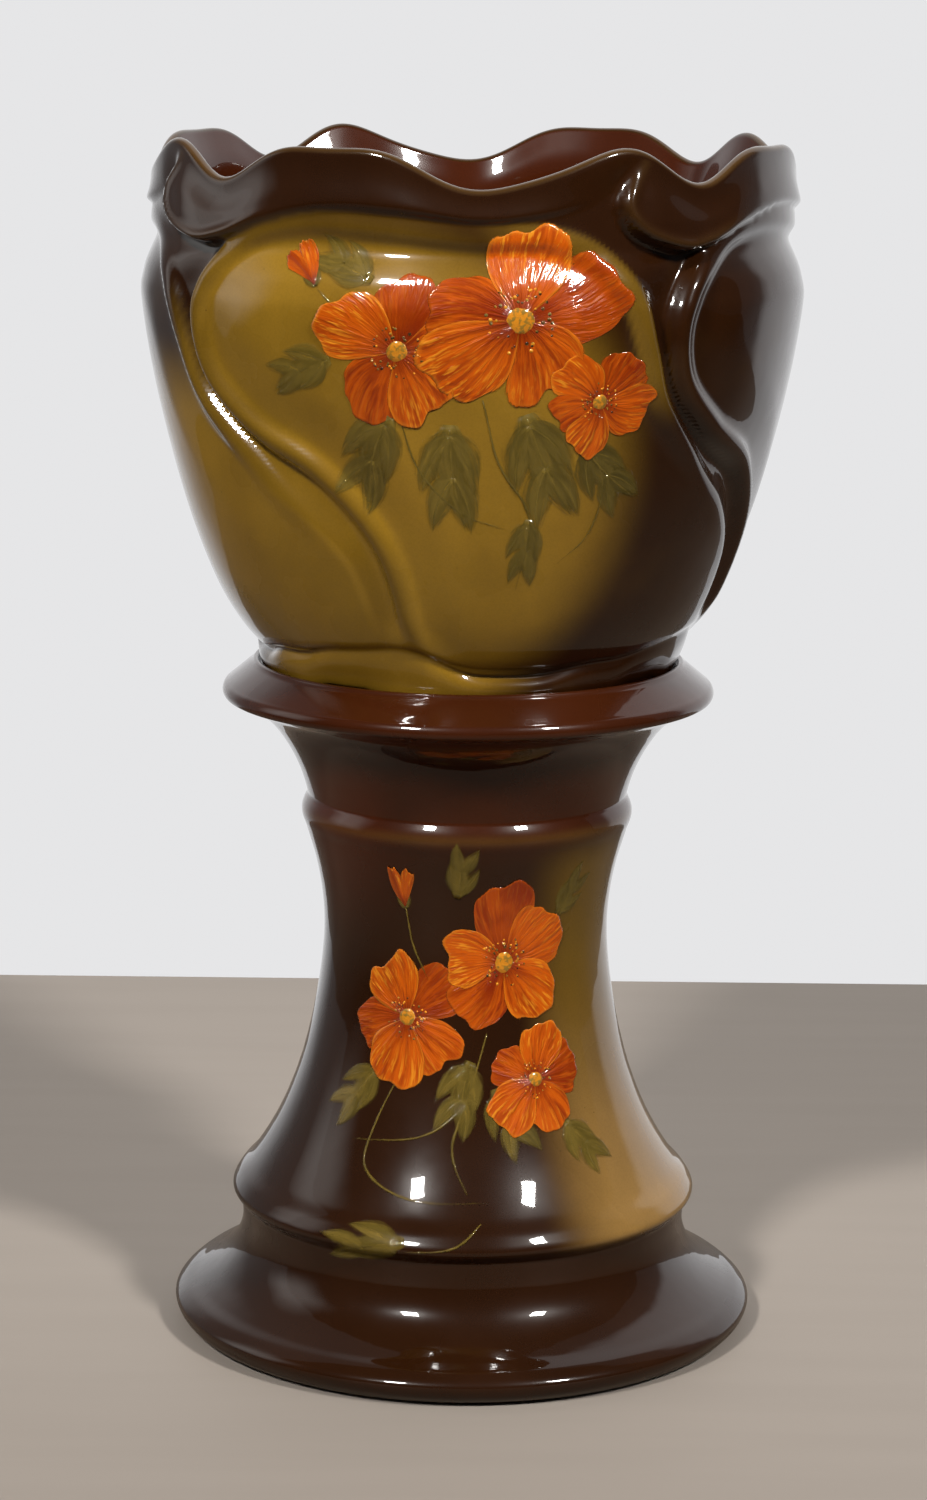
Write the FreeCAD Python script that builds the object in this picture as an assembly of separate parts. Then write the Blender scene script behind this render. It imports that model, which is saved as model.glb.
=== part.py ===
import FreeCAD, Part

import math
import os

os.makedirs("parts", exist_ok=True)

# A glazed earthenware jardiniere that stands loose in the seat of its own
# hollow pedestal.  +Z is up, the floor is z = 0, the axis of both pieces is
# the Z axis and the face that is shown to the room looks along -Y.

# ---- Driving dimensions, mm and degrees ----------------------------------
PEDESTAL_HEIGHT = 413.0      # floor to the crest of the seat's lip
BASE_RADIUS = 178.0          # widest round of the base
BASE_HEIGHT = 75.0           # floor to the crease under the bell
BELL_RADIUS = 142.4          # widest round of the bell
CREASE_DEPTH = 5.6           # how far the crease lies inside the bell
WAIST_RADIUS = 86.7          # slimmest part of the column
RING_HEIGHT = 320.5          # floor to the middle of the neck ring
RING_WIDTH = 19.0            # height of the neck ring itself
RING_RADIUS = 100.6          # outside of the neck ring
RING_PROUD_LOW = 2.6         # how far the neck ring stands out over the bell
RING_PROUD_TOP = 3.8         # and over the throat
FLANGE_RADIUS = 148.3        # outer edge of the flange
FLANGE_DROP = 19.4           # lip crest down to the flange's widest round
FLANGE_EDGE = 6.0            # rise of the flange's round edge over that round
FLANGE_UNDER = 4.2           # and its fall below it
FLANGE_TURN = 3.9            # the flat top starts this far in from the edge
SEAT_LIP = 2.0               # radius of the lip round the seat
LIP_FALL = 1.6               # the lip's crest down to its outer foot
SEAT_DEPTH = 6.0             # lip crest down to the seat's floor
PEDESTAL_WALL = 9.0          # thickness of the pedestal's cast wall
CEILING_SLOPE = 0.6          # the hollow widens this much per mm up to its ceiling
SEAT_CLEARANCE = 1.5         # gap between the pot's foot and the seat's wall

POT_HEIGHT = 317.0           # underside of the foot to the rim's crests
POT_RADIUS = 197.0           # widest round of the pot
POT_WIDEST = 0.72            # height of that round, as a share of the pot
COLLAR_RADIUS = 188.0        # the collar's ground, above the body
RIM_RADIUS = 186.0           # middle of the rim
RIM_THICKNESS = 7.0          # thickness of the rounded rim
POT_WALL = 8.5               # thickness of the pot's cast wall
FOOT_RADIUS = 124.5          # outside of the pot's foot
FOOT_HEIGHT = 22.6           # mean height of the foot below the body
FOOT_DIP = 7.0               # how far the waved top of the foot dips below that
FOOT_NOTCH = 2.2             # depth of the crease over the foot
FOOT_SWELL = 2.6             # how far the foot's rounded band swells
FOOT_WIDTH = 10.0            # width of the ring that the pot stands on
FOOT_RECESS = 4.0            # hollow under the pot, inside that ring
FOOT_TAPER = 1.0             # the foot narrows this much towards the seat

PANELS = 4                   # the moulded scroll repeats round the pot
PANEL_TURN = -50.0           # where the first panel starts, from the front
ARCH_ANGLE = 15.0            # middle of the arch in the foot of each panel
ARCH_SPAN = 31.0             # width of that arch, degrees
ARCH_HEIGHT = 4.5            # height of that arch

STEM_CREST = 2.4             # how far the scroll's stem stands over the ground
STEM_HALF_WIDTH = 10.0       # half the width of the rounded stem
PILLOW_RISE = 3.2            # how far a panel swells inside its stem
PILLOW_WIDTH = 34.0          # distance over which it swells
VALLEY_DEPTH = 8.5           # depth of the crease outside the stem
VALLEY_WIDTH = 36.0          # distance over which the ground rises again
RELIEF_START = 22.0          # height above the foot where the relief is full
BAND_STEP = 5.5              # how far the collar band stands out
LOBE_STEP = 8.0              # the same at the band's rounded start
LOBE_LIP = 2.2               # bead along the edge of that start
BAND_EDGE = 4.0              # radius of the band's rounded edge
SCOOP_DEPTH = 4.2            # hollow in the band's rounded start
SCOOP_RADIUS = 30.0          # reach of that hollow

# ---- Shapes, as shares of the driving dimensions -------------------------
# (share of the height, share of the spread in radius)
BASE_SHAPE = (
    (0.0, 0.72), (0.047, 0.87), (0.107, 0.966), (0.187, 1.0), (0.267, 0.867),
    (0.34, 0.636), (0.467, 0.32), (0.613, 0.102), (0.8, -0.01), (1.0, 0.0),
)
BELL_SHAPE = (
    (0.032, 0.998), (0.066, 0.932), (0.108, 0.777), (0.216, 0.503), (0.359, 0.26),
    (0.529, 0.088), (0.698, 0.0), (0.8, 0.01), (0.9, 0.08),
)
THROAT_SHAPE = (
    (0.0, 0.0), (0.13, 0.045), (0.31, 0.13), (0.53, 0.28), (0.74, 0.48),
    (0.90, 0.72), (1.0, 1.0),
)
BODY_SHAPE = (
    (0.0, 0.0), (0.025, 0.069), (0.059, 0.157), (0.161, 0.347), (0.364, 0.589),
    (0.633, 0.8125), (0.85, 0.945), (1.0, 1.0),
)
SHOULDER_SHAPE = (
    (0.0, 1.0), (0.09, 0.93), (0.18, 0.80), (0.27, 0.47), (0.36, 0.08),
    (0.45, 0.03), (0.62, 0.0), (0.80, 0.0), (1.0, 0.0),
)
# (degrees from the start of the panel, share of the pot's height)
LEFT_STEM = (
    (38.5, 0.03), (38.0, 0.07), (37.0, 0.15), (33.0, 0.30), (22.0, 0.43), (8.0, 0.51),
    (-1.0, 0.60), (-2.5, 0.70), (2.0, 0.785),
)
STEM_PATH = LEFT_STEM + (
    (10.0, 0.842), (20.0, 0.865), (35.0, 0.86), (50.0, 0.845), (62.0, 0.845), (71.0, 0.81),
    (77.0, 0.74), (80.5, 0.65), (84.5, 0.55), (96.0, 0.43), (110.0, 0.29), (119.0, 0.15),
    (121.0, 0.05),
)
CREASE_PATH = LEFT_STEM + ((1.0, 0.83), (-3.0, 0.88), (-7.0, 0.95))
BAND_PATH = (
    (-6.0, 1.06), (-11.5, 0.98), (-15.0, 0.92), (-15.0, 0.89), (-12.5, 0.855), (-8.0, 0.832),
    (-2.0, 0.82), (4.0, 0.832), (12.0, 0.862), (20.0, 0.884), (28.0, 0.892),
    (40.0, 0.884), (51.0, 0.873), (60.0, 0.88), (68.0, 0.90), (76.0, 0.93),
)
# (share of the stem's path, share of its crest, share of its full section)
STEM_SECTION = (
    (0.0, 1.0, 0.9), (0.06, 1.0, 1.0), (0.30, 1.1, 1.0), (0.42, 0.5, 1.0), (0.62, 0.5, 1.0),
    (0.70, 0.8, 1.0), (0.77, 0.7, 0.95), (0.85, 0.4, 0.3), (0.92, 0.3, 0.0), (1.0, 0.2, 0.0),
)
# (share of the pot's height, share of the crease's depth, share of its width)
CREASE_SECTION = (
    (0.0, 0.4, 0.6), (0.1, 0.4, 0.6), (0.225, 0.7, 0.6), (0.35, 1.0, 0.65), (0.6, 1.0, 1.0),
    (0.76, 1.0, 1.0), (0.84, 0.5, 1.0), (1.0, 0.5, 1.0),
)
# (waves round the pot, height of the wave as a share of the pot, phase)
RIM_WAVES = ((4, 0.0139, 15.1), (8, 0.0289, -17.2), (12, 0.0082, 14.8), (16, 0.0068, -9.7))
FOOT_WAVES = ((4, 0.0233, 22.8), (8, 0.0078, -12.1), (12, 0.0016, 5.1), (16, 0.0027, -8.7))
RIM_MIDDLE = 0.9715          # mean height of the rim's wave, share of the pot
BAND_FROM = -15.6            # a band starts here, degrees
LOBE_END = 14.0              # the band has its plain step from here
BAND_FULL = 52.0             # it keeps that step up to here
BAND_END = 74.0              # and has sunk into the collar here
BAND_THIN = 0.25             # share of its step that is left at the rim
BAND_THINS = (0.875, 0.985)  # shares of the pot's height between which it thins
SCOOP_PLACE = (2.0, 0.925)   # middle of the hollow in the band's start
COLLAR_HOLD = 0.72           # share of the collar that keeps its relief
INSIDE_SOFTENING = 0.8       # share of the creases' depth that shows inside

# ---- How finely the pot's surface is drawn -------------------------------
PANEL_POINTS = 36            # points round each ring in one panel
BODY_RINGS = 24              # rings from the foot to the collar
COLLAR_RINGS = 15            # rings from there to the rim
RIM_RINGS = 5                # rings over the rounded rim
INSIDE_RINGS = 13            # rings down the inside
PATH_STEPS = 240             # points along each relief path
CURVE_FIT = 0.08             # how closely a profile keeps to its points, mm

SEAT_FLOOR = PEDESTAL_HEIGHT - SEAT_DEPTH
SEAT_RADIUS = FOOT_RADIUS + SEAT_CLEARANCE
CREASE_RADIUS = BELL_RADIUS - CREASE_DEPTH
BODY_START = SEAT_FLOOR + FOOT_HEIGHT - FOOT_DIP
POT_FLOOR = SEAT_FLOOR + FOOT_RECESS + POT_WALL
WIDEST_Z = SEAT_FLOOR + POT_WIDEST * POT_HEIGHT
POT_TOP = SEAT_FLOOR + POT_HEIGHT
PANEL_ANGLE = 360.0 / PANELS


def blend(start, end, share):
    return start + (end - start) * share


def smooth(value):
    """A soft step: 0 below 0, 1 above 1."""
    value = min(max(value, 0.0), 1.0)
    return value * value * (3.0 - 2.0 * value)


def profile_point(radius, height):
    return FreeCAD.Vector(radius, 0.0, height)


def spline(points):
    """A smooth curve through points of the profile plane."""
    curve = Part.BSplineCurve()
    curve.interpolate(points)
    return curve


def profile_edge(points):
    """A smooth edge that keeps to the points with as few spans as it can."""
    curve = Part.BSplineCurve()
    curve.approximate(Points=spline(points).discretize(60), DegMax=8, Tolerance=CURVE_FIT)
    return curve.toShape()


def line(start, end):
    return Part.LineSegment(start, end).toShape()


def arc(start, middle, end):
    return Part.Arc(start, middle, end).toShape()


# ---- Pedestal ------------------------------------------------------------
def pedestal_curves():
    """The outside of the pedestal from its foot to the flange, bottom up."""
    spread = BASE_RADIUS - CREASE_RADIUS
    base = [
        profile_point(CREASE_RADIUS + spread * share, BASE_HEIGHT * height)
        for height, share in BASE_SHAPE
    ]
    ring_low = profile_point(RING_RADIUS - RING_PROUD_LOW, RING_HEIGHT - RING_WIDTH / 2)
    ring_mid = profile_point(RING_RADIUS, RING_HEIGHT)
    ring_top = profile_point(RING_RADIUS - RING_PROUD_TOP, RING_HEIGHT + RING_WIDTH / 2)
    bell = [base[-1]]
    for height, share in BELL_SHAPE:
        radius = blend(WAIST_RADIUS, BELL_RADIUS, share)
        bell.append(profile_point(radius, blend(BASE_HEIGHT, ring_low.z, height)))
    bell.append(ring_low)
    flange_z = PEDESTAL_HEIGHT - FLANGE_DROP
    under = profile_point(FLANGE_RADIUS - FLANGE_EDGE, flange_z - FLANGE_UNDER)
    throat = [
        profile_point(blend(ring_top.x, under.x, share), blend(ring_top.z, under.z, height))
        for height, share in THROAT_SHAPE
    ]
    return base, bell, (ring_low, ring_mid, ring_top), throat, flange_z


def inset(points, distance):
    """Points moved inward, square to the run of the list."""
    moved = []
    for before, after in zip(points[:-1], points[1:]):
        along = after - before
        along.normalize()
        middle = (before + after) * 0.5
        moved.append(middle + FreeCAD.Vector(-along.z, 0.0, along.x) * distance)
    return moved


def make_pedestal():
    base, bell, ring, throat, flange_z = pedestal_curves()
    edge_mid = profile_point(FLANGE_RADIUS, flange_z)
    edge_top = profile_point(FLANGE_RADIUS - FLANGE_TURN, flange_z + FLANGE_EDGE)
    lip_out = profile_point(SEAT_RADIUS + 2 * SEAT_LIP, PEDESTAL_HEIGHT - LIP_FALL)
    lip_top = profile_point(SEAT_RADIUS + SEAT_LIP, PEDESTAL_HEIGHT)
    lip_in = profile_point(SEAT_RADIUS, PEDESTAL_HEIGHT - SEAT_LIP)
    seat_edge = profile_point(SEAT_RADIUS, SEAT_FLOOR)
    seat_axis = profile_point(0.0, SEAT_FLOOR)
    outside = [
        profile_edge(base),
        profile_edge(bell),
        arc(*ring),
        profile_edge(throat),
        arc(throat[-1], edge_mid, edge_top),
        line(edge_top, lip_out),
        arc(lip_out, lip_top, lip_in),
        line(lip_in, seat_edge),
        line(seat_edge, seat_axis),
    ]
    ceiling = SEAT_FLOOR - PEDESTAL_WALL
    inner = [profile_point(base[0].x - PEDESTAL_WALL, 0.0)]
    inner += inset(base[2::2] + bell[2::2], PEDESTAL_WALL)
    inner += inset([ring[0], ring[2]], PEDESTAL_WALL)
    inner += inset(throat[1:6:2], PEDESTAL_WALL)
    inner.append(profile_point(inner[-1].x + CEILING_SLOPE * (ceiling - inner[-1].z), ceiling))
    top_axis = profile_point(0.0, ceiling)
    inside = [
        line(seat_axis, top_axis),
        line(top_axis, inner[-1]),
        line(inner[0], base[0]),
    ]
    inside += [line(*pair) for pair in zip(inner[:-1], inner[1:])]
    wire = Part.Wire(Part.__sortEdges__(outside + inside))
    return Part.Face(wire).revolve(FreeCAD.Vector(), FreeCAD.Vector(0, 0, 1), 360)


# ---- The pot's moulded relief --------------------------------------------
def unrolled(angle, share):
    """A place on the pot's side laid flat: mm round the collar, mm up."""
    return math.radians(angle) * COLLAR_RADIUS, SEAT_FLOOR + share * POT_HEIGHT


def relief_path(points):
    """A path of the relief on the unrolled side, as short straight steps."""
    curve = Part.BSplineCurve()
    curve.interpolate([FreeCAD.Vector(*unrolled(*point), 0.0) for point in points])
    return [(point.x, point.y) for point in curve.discretize(PATH_STEPS)]


STEM = relief_path(STEM_PATH)
CREASE = relief_path(CREASE_PATH)
BAND = relief_path(BAND_PATH)


def nearest(path, along, height):
    """Distance to a path, the side it lies on (1 is left) and the share of the path."""
    gaps = [(x - along) ** 2 + (y - height) ** 2 for x, y in path]
    closest = gaps.index(min(gaps))
    found = []
    for index in (max(closest - 1, 0), min(closest, len(path) - 2)):
        x, y = path[index]
        step_x, step_y = path[index + 1][0] - x, path[index + 1][1] - y
        off_x, off_y = along - x, height - y
        run = (off_x * step_x + off_y * step_y) / (step_x ** 2 + step_y ** 2)
        run = min(max(run, 0.0), 1.0)
        gap = math.hypot(off_x - run * step_x, off_y - run * step_y)
        side = 1.0 if step_x * off_y - step_y * off_x >= 0 else -1.0
        found.append((gap, side, (index + run) / (len(path) - 1)))
    return min(found)


def nearest_copy(path, angle, height):
    """The same against the path and its copies in the panels beside it."""
    angle %= PANEL_ANGLE
    turns = (-PANEL_ANGLE, 0.0, PANEL_ANGLE)
    return min(
        nearest(path, math.radians(angle + turn) * COLLAR_RADIUS, height) for turn in turns
    )


def tabled(table, place, column):
    """A value read from a table of rows by their first entry."""
    for low, high in zip(table[:-1], table[1:]):
        if place <= high[0]:
            return blend(low[column], high[column], (place - low[0]) / (high[0] - low[0]))
    return table[-1][column]


def panel_relief(angle, height):
    """Stem, swelling panel and crease, as a change of radius."""
    gap, side, place = nearest_copy(STEM, angle, height)
    crease_gap, crease_side, _ = nearest_copy(CREASE, angle, height)
    up = min(max((height - SEAT_FLOOR) / POT_HEIGHT, 0.0), 1.0)
    crest = STEM_CREST * tabled(STEM_SECTION, place, 1)
    full = tabled(STEM_SECTION, place, 2)
    if crease_side > 0:
        width = VALLEY_WIDTH * tabled(CREASE_SECTION, up, 2)
        reach = (crease_gap - STEM_HALF_WIDTH) / width
    else:
        reach = crease_gap / STEM_HALF_WIDTH
    depth = VALLEY_DEPTH * tabled(CREASE_SECTION, up, 1)
    outside = -depth * (1.0 - smooth(reach))
    pillow = -PILLOW_RISE * (1.0 - smooth((gap - STEM_HALF_WIDTH) / PILLOW_WIDTH))
    inside = blend(outside, pillow, full)
    across = side * gap / STEM_HALF_WIDTH
    ground = blend(inside, outside, smooth((across + 1.0) / 2.0))
    across = min(max(across, -1.0), 1.0)
    section = 1.0 - across ** 3 if across > 0 else 0.5 + 0.5 * math.cos(math.pi * across)
    start = smooth((height - foot_top(angle)) / RELIEF_START)
    return (ground + full * (crest - ground) * section) * start


def band_relief(angle, height):
    """The collar band, which starts in a rounded lobe at each panel's dip.

    Gives the change of radius and how far the band covers the panel's relief.
    """
    angle = (angle - BAND_FROM) % PANEL_ANGLE + BAND_FROM
    along = math.radians(angle) * COLLAR_RADIUS
    gap, side, _ = nearest(BAND, along, height)
    depth = side * gap / BAND_EDGE
    cover = math.sqrt(1.0 - (1.0 - min(max(depth, 0.0), 1.0)) ** 2)
    end = 1.0 - smooth((angle - BAND_FULL) / (BAND_END - BAND_FULL))
    lobe = 1.0 - smooth((angle - 2.0) / LOBE_END)
    step = blend(BAND_STEP, LOBE_STEP, 1.0 - smooth((angle + 8.0) / (LOBE_END + 8.0)))
    up = (height - SEAT_FLOOR) / POT_HEIGHT
    thinning = min(max((up - BAND_THINS[0]) / (BAND_THINS[1] - BAND_THINS[0]), 0.0), 1.0)
    step *= end * blend(1.0, BAND_THIN, thinning)
    scoop_x, scoop_y = unrolled(*SCOOP_PLACE)
    hollow = 1.0 - smooth(math.hypot(along - scoop_x, height - scoop_y) / SCOOP_RADIUS)
    bead = math.exp(-((depth - 1.0) / 0.75) ** 2) * lobe
    return cover * (step - SCOOP_DEPTH * hollow + LOBE_LIP * bead), cover * end


def relief(angle, height):
    """The whole relief; the panel's runs out under the band."""
    step, over = band_relief(angle, height)
    return panel_relief(angle, height) * (1.0 - over) + step


def waves(table, angle):
    return POT_HEIGHT * sum(
        size * math.cos(math.radians(count * (angle - phase))) for count, size, phase in table
    )


def rim_height(angle):
    """Height of the waved rim above the floor."""
    return SEAT_FLOOR + RIM_MIDDLE * POT_HEIGHT + waves(RIM_WAVES, angle)


def foot_top(angle):
    """Height of the waved crease between the foot and the body."""
    return SEAT_FLOOR + FOOT_HEIGHT + waves(FOOT_WAVES, angle)


def ground_profile():
    """Radius of the pot's ground by height, without the relief."""
    points = [
        (blend(BODY_START, WIDEST_Z, height), blend(FOOT_RADIUS, POT_RADIUS, share))
        for height, share in BODY_SHAPE
    ]
    for height, share in SHOULDER_SHAPE[1:]:
        radius = blend(COLLAR_RADIUS, POT_RADIUS, share)
        points.append((blend(WIDEST_Z, POT_TOP, height), radius))
    curve = spline([profile_point(radius, height) for height, radius in points])
    return [(point.z, point.x) for point in curve.discretize(300)]


GROUND = ground_profile()


def ground_radius(height):
    if height <= GROUND[0][0]:
        return GROUND[0][1]
    for (low, near), (high, far) in zip(GROUND[:-1], GROUND[1:]):
        if height <= high:
            return blend(near, far, (height - low) / (high - low))
    return GROUND[-1][1]


def outside_radius(angle, height):
    return ground_radius(height) + relief(angle, height)


def inside_radius(angle, height):
    """The cast wall follows the creases of the outside, softened."""
    hollow = min(panel_relief(angle, height), 0.0)
    return ground_radius(height) - POT_WALL + INSIDE_SOFTENING * hollow


def ring_points(place):
    """One ring of points; place gives radius and height by angle in a panel."""
    spacing = PANEL_ANGLE / PANEL_POINTS
    panel = [place(index * spacing) for index in range(PANEL_POINTS)]
    ring = []
    for index, (radius, height) in enumerate(panel * PANELS):
        turn = math.radians(index * spacing + PANEL_TURN)
        ring.append(FreeCAD.Vector(radius * math.sin(turn), -radius * math.cos(turn), height))
    return ring


def arch_height(angle):
    """Height of the foot's underside over the seat: four low arches."""
    offset = (angle - ARCH_ANGLE + PANEL_ANGLE / 2) % PANEL_ANGLE - PANEL_ANGLE / 2
    return ARCH_HEIGHT * (1.0 - smooth(abs(offset) / (ARCH_SPAN / 2) * 1.5 - 0.5))


def foot_rings():
    """From the hollow under the pot, round the foot, up to its crease."""
    inner = FOOT_RADIUS - FOOT_WIDTH
    outer = FOOT_RADIUS - FOOT_TAPER
    roof = SEAT_FLOOR + FOOT_RECESS
    rings = [
        ring_points(lambda angle: (inner - 2 * FOOT_RECESS, roof)),
        ring_points(lambda angle: (inner - FOOT_RECESS, roof)),
    ]
    for share in (0.0, 0.2, 0.8, 1.0):
        radius = blend(inner, outer, share)
        rings.append(ring_points(lambda angle: (radius, SEAT_FLOOR + arch_height(angle))))

    def side(share):
        def place(angle):
            top = foot_top(angle)
            low = SEAT_FLOOR + arch_height(angle)
            crease = ground_radius(top) - FOOT_NOTCH
            swell = FOOT_SWELL * math.sin(math.pi * share ** 1.25)
            return blend(outer, crease, share ** 2) + swell, blend(low, top, share)
        return ring_points(place)

    rings += [side(share) for share in (0.25, 0.5, 0.75, 0.92, 1.0, 1.0)]
    return rings


def body_ring(share):
    def place(angle):
        height = blend(foot_top(angle), WIDEST_Z, share)
        return outside_radius(angle, height), height
    return ring_points(place)


def collar_ring(share):
    def place(angle):
        height = blend(WIDEST_Z, rim_height(angle) - RIM_THICKNESS / 2, share)
        radius = outside_radius(angle, height)
        lean = smooth((share - COLLAR_HOLD) / (1.0 - COLLAR_HOLD))
        return blend(radius, RIM_RADIUS + RIM_THICKNESS / 2, lean), height
    return ring_points(place)


def rim_ring(turn):
    half = RIM_THICKNESS / 2

    def place(angle):
        height = rim_height(angle) - half + half * math.sin(turn)
        return RIM_RADIUS + half * math.cos(turn), height
    return ring_points(place)


def inside_ring(share):
    def place(angle):
        height = blend(rim_height(angle) - RIM_THICKNESS / 2, POT_FLOOR, share)
        wall = inside_radius(angle, height)
        rim = RIM_RADIUS - RIM_THICKNESS / 2
        return blend(rim, wall, smooth(share / 0.18)), height
    return ring_points(place)


def through(rings):
    """Control rings whose smooth surface runs through the given rings."""
    raised = []
    for ring in rings:
        around = zip(ring[-1:] + ring[:-1], ring, ring[1:] + ring[:1])
        raised.append([here - (before - here * 2 + after) / 6 for before, here, after in around])
    middle = []
    for below, ring, above in zip(raised[:-2], raised[1:-1], raised[2:]):
        middle.append([b - (a - b * 2 + c) / 6 for a, b, c in zip(below, ring, above)])
    return [raised[0]] + middle + [raised[-1]]


def periodic_surface(rings):
    """A smooth surface through control rings, closed on itself sideways."""
    degree = 3
    poles = [list(column) for column in zip(*rings)]
    around = len(poles)
    up = len(rings)
    surface = Part.BSplineSurface()
    surface.buildFromPolesMultsKnots(
        poles,
        [1] * (around + 1),
        [degree + 1] + [1] * (up - degree - 1) + [degree + 1],
        list(range(around + 1)),
        list(range(up - degree + 1)),
        True,
        False,
        degree,
        degree,
    )
    return surface


def make_jardiniere():
    rings = foot_rings()
    side = [body_ring((index + 0.4) / BODY_RINGS) for index in range(BODY_RINGS)]
    side += [collar_ring(index / COLLAR_RINGS) for index in range(COLLAR_RINGS)]
    rings += through(side)
    rings += [rim_ring(math.pi * index / (RIM_RINGS - 1)) for index in range(RIM_RINGS)]
    rings += [inside_ring(index / INSIDE_RINGS) for index in range(1, INSIDE_RINGS + 1)]
    skin = periodic_surface(rings).toShape()
    caps = []
    for edge in skin.Edges:
        if edge.isClosed() and edge.BoundBox.ZLength < 0.01:
            caps.append(Part.Face(Part.Wire([edge])))
    shell = Part.Shell([skin] + caps)
    shell.sewShape()
    solid = Part.Solid(shell)
    if solid.Volume < 0:
        solid.reverse()
    return solid


def export(name, shape):
    solid = shape.Solids[0]
    print(name, len(shape.Solids), "solid", shape.isValid(), round(solid.Volume / 1000.0), "cm3")
    solid.exportStep("parts/" + name + ".step")


export("pedestal", make_pedestal())
export("jardiniere", make_jardiniere())
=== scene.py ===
import math
import random

import bmesh
import bpy
import numpy as np
from bpy.props import FloatProperty, FloatVectorProperty, PointerProperty
from mathutils import Matrix, Vector


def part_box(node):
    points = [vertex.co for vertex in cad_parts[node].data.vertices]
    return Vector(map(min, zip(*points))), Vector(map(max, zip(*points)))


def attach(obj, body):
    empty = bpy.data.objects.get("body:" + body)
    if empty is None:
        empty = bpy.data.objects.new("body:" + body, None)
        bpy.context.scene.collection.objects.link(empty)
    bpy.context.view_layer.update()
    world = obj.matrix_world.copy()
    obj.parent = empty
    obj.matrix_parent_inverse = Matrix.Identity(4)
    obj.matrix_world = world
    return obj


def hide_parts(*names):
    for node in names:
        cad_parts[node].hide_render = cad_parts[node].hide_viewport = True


bl_info = {
    "name": "Jardiniere on Pedestal",
    "version": (1, 0, 0),
    "blender": (4, 5, 0),
    "location": "3D View > Sidebar > Jardiniere",
    "description": "A glazed jardiniere with moulded scroll panels on its pedestal",
    "category": "Object",
}

# Lengths are metres and angles degrees.  The shown side faces -Y.
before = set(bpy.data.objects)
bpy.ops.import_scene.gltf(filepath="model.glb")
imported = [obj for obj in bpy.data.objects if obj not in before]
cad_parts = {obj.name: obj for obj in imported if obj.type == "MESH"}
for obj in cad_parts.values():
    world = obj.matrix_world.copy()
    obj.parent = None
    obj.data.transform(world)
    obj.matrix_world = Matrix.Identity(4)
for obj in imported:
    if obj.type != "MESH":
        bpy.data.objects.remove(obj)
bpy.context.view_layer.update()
STAND_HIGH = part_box("pedestal")[1]
POT_LOW, POT_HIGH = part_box("jardiniere")

# ---- Shapes, as shares of the sizes below --------------------------------
PANEL_ANGLE = 90.0
PANEL_TURN = -50.0           # where the first panel starts, from the front
# (share of the way up, share of the way out)
BODY_SHAPE = (
    (0.0, 0.0), (0.025, 0.069), (0.059, 0.157), (0.161, 0.347), (0.364, 0.589),
    (0.633, 0.8125), (0.85, 0.945), (1.0, 1.0),
)
SHOULDER_SHAPE = (
    (0.09, 0.93), (0.18, 0.80), (0.27, 0.47), (0.36, 0.08), (0.45, 0.03),
    (0.62, 0.0), (0.80, 0.0), (1.0, 0.0),
)
# (degrees from the start of the panel, share of the pot's height)
STEM_PATH = (
    (38.5, 0.03), (38.0, 0.07), (37.0, 0.15), (33.0, 0.30), (22.0, 0.43), (8.0, 0.51),
    (-1.0, 0.60), (-2.5, 0.70), (2.0, 0.785), (10.0, 0.842), (20.0, 0.865), (35.0, 0.86),
    (50.0, 0.845), (62.0, 0.845), (71.0, 0.81), (77.0, 0.74), (80.5, 0.65), (84.5, 0.55),
    (96.0, 0.43), (110.0, 0.29), (119.0, 0.15), (121.0, 0.05),
)
LEFT_STEM_POINTS = 9         # of these, the points up the left of a panel
VALLEY_TOP = ((1.0, 0.83), (-3.0, 0.88), (-7.0, 0.95))
# (share of the stem's path, crest, fullness)
STEM_SECTION = (
    (0.0, 1.0, 0.9), (0.06, 1.0, 1.0), (0.30, 1.1, 1.0), (0.42, 0.5, 1.0), (0.62, 0.5, 1.0),
    (0.70, 0.8, 1.0), (0.77, 0.7, 0.95), (0.85, 0.4, 0.3), (0.92, 0.3, 0.0), (1.0, 0.2, 0.0),
)
BAND_PATH = (
    (-6.0, 1.06), (-11.5, 0.98), (-15.0, 0.92), (-15.0, 0.89), (-12.5, 0.855), (-8.0, 0.832),
    (-2.0, 0.82), (4.0, 0.832), (12.0, 0.862), (20.0, 0.884), (28.0, 0.892),
    (40.0, 0.884), (51.0, 0.873), (60.0, 0.88), (68.0, 0.90), (76.0, 0.93),
)
# (waves round the pot, height of the wave as a share of the pot, phase)
RIM_WAVES = ((4, 0.0139, 15.1), (8, 0.0289, -17.2), (12, 0.0082, 14.8), (16, 0.0068, -9.7))
FOOT_WAVES = ((4, 0.0233, 22.8), (8, 0.0078, -12.1), (12, 0.0016, 5.1), (16, 0.0027, -8.7))
BASE_SHAPE = (
    (0.0, 0.72), (0.047, 0.87), (0.107, 0.966), (0.187, 1.0), (0.267, 0.867),
    (0.34, 0.636), (0.467, 0.32), (0.613, 0.102), (0.8, -0.01), (1.0, 0.0),
)
BELL_SHAPE = (
    (0.032, 0.998), (0.066, 0.932), (0.108, 0.777), (0.216, 0.503), (0.359, 0.26),
    (0.529, 0.088), (0.698, 0.0), (0.8, 0.01), (0.9, 0.08),
)
THROAT_SHAPE = (
    (0.0, 0.0), (0.13, 0.045), (0.31, 0.13), (0.53, 0.28), (0.74, 0.48), (0.90, 0.72), (1.0, 1.0),
)
PROFILE_STEPS = 16           # points between two knots of the pot's profile
PATH_STEPS = 20              # the same for the stem and the band
CHUNK = 8000                 # places compared with a path at a time

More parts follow.
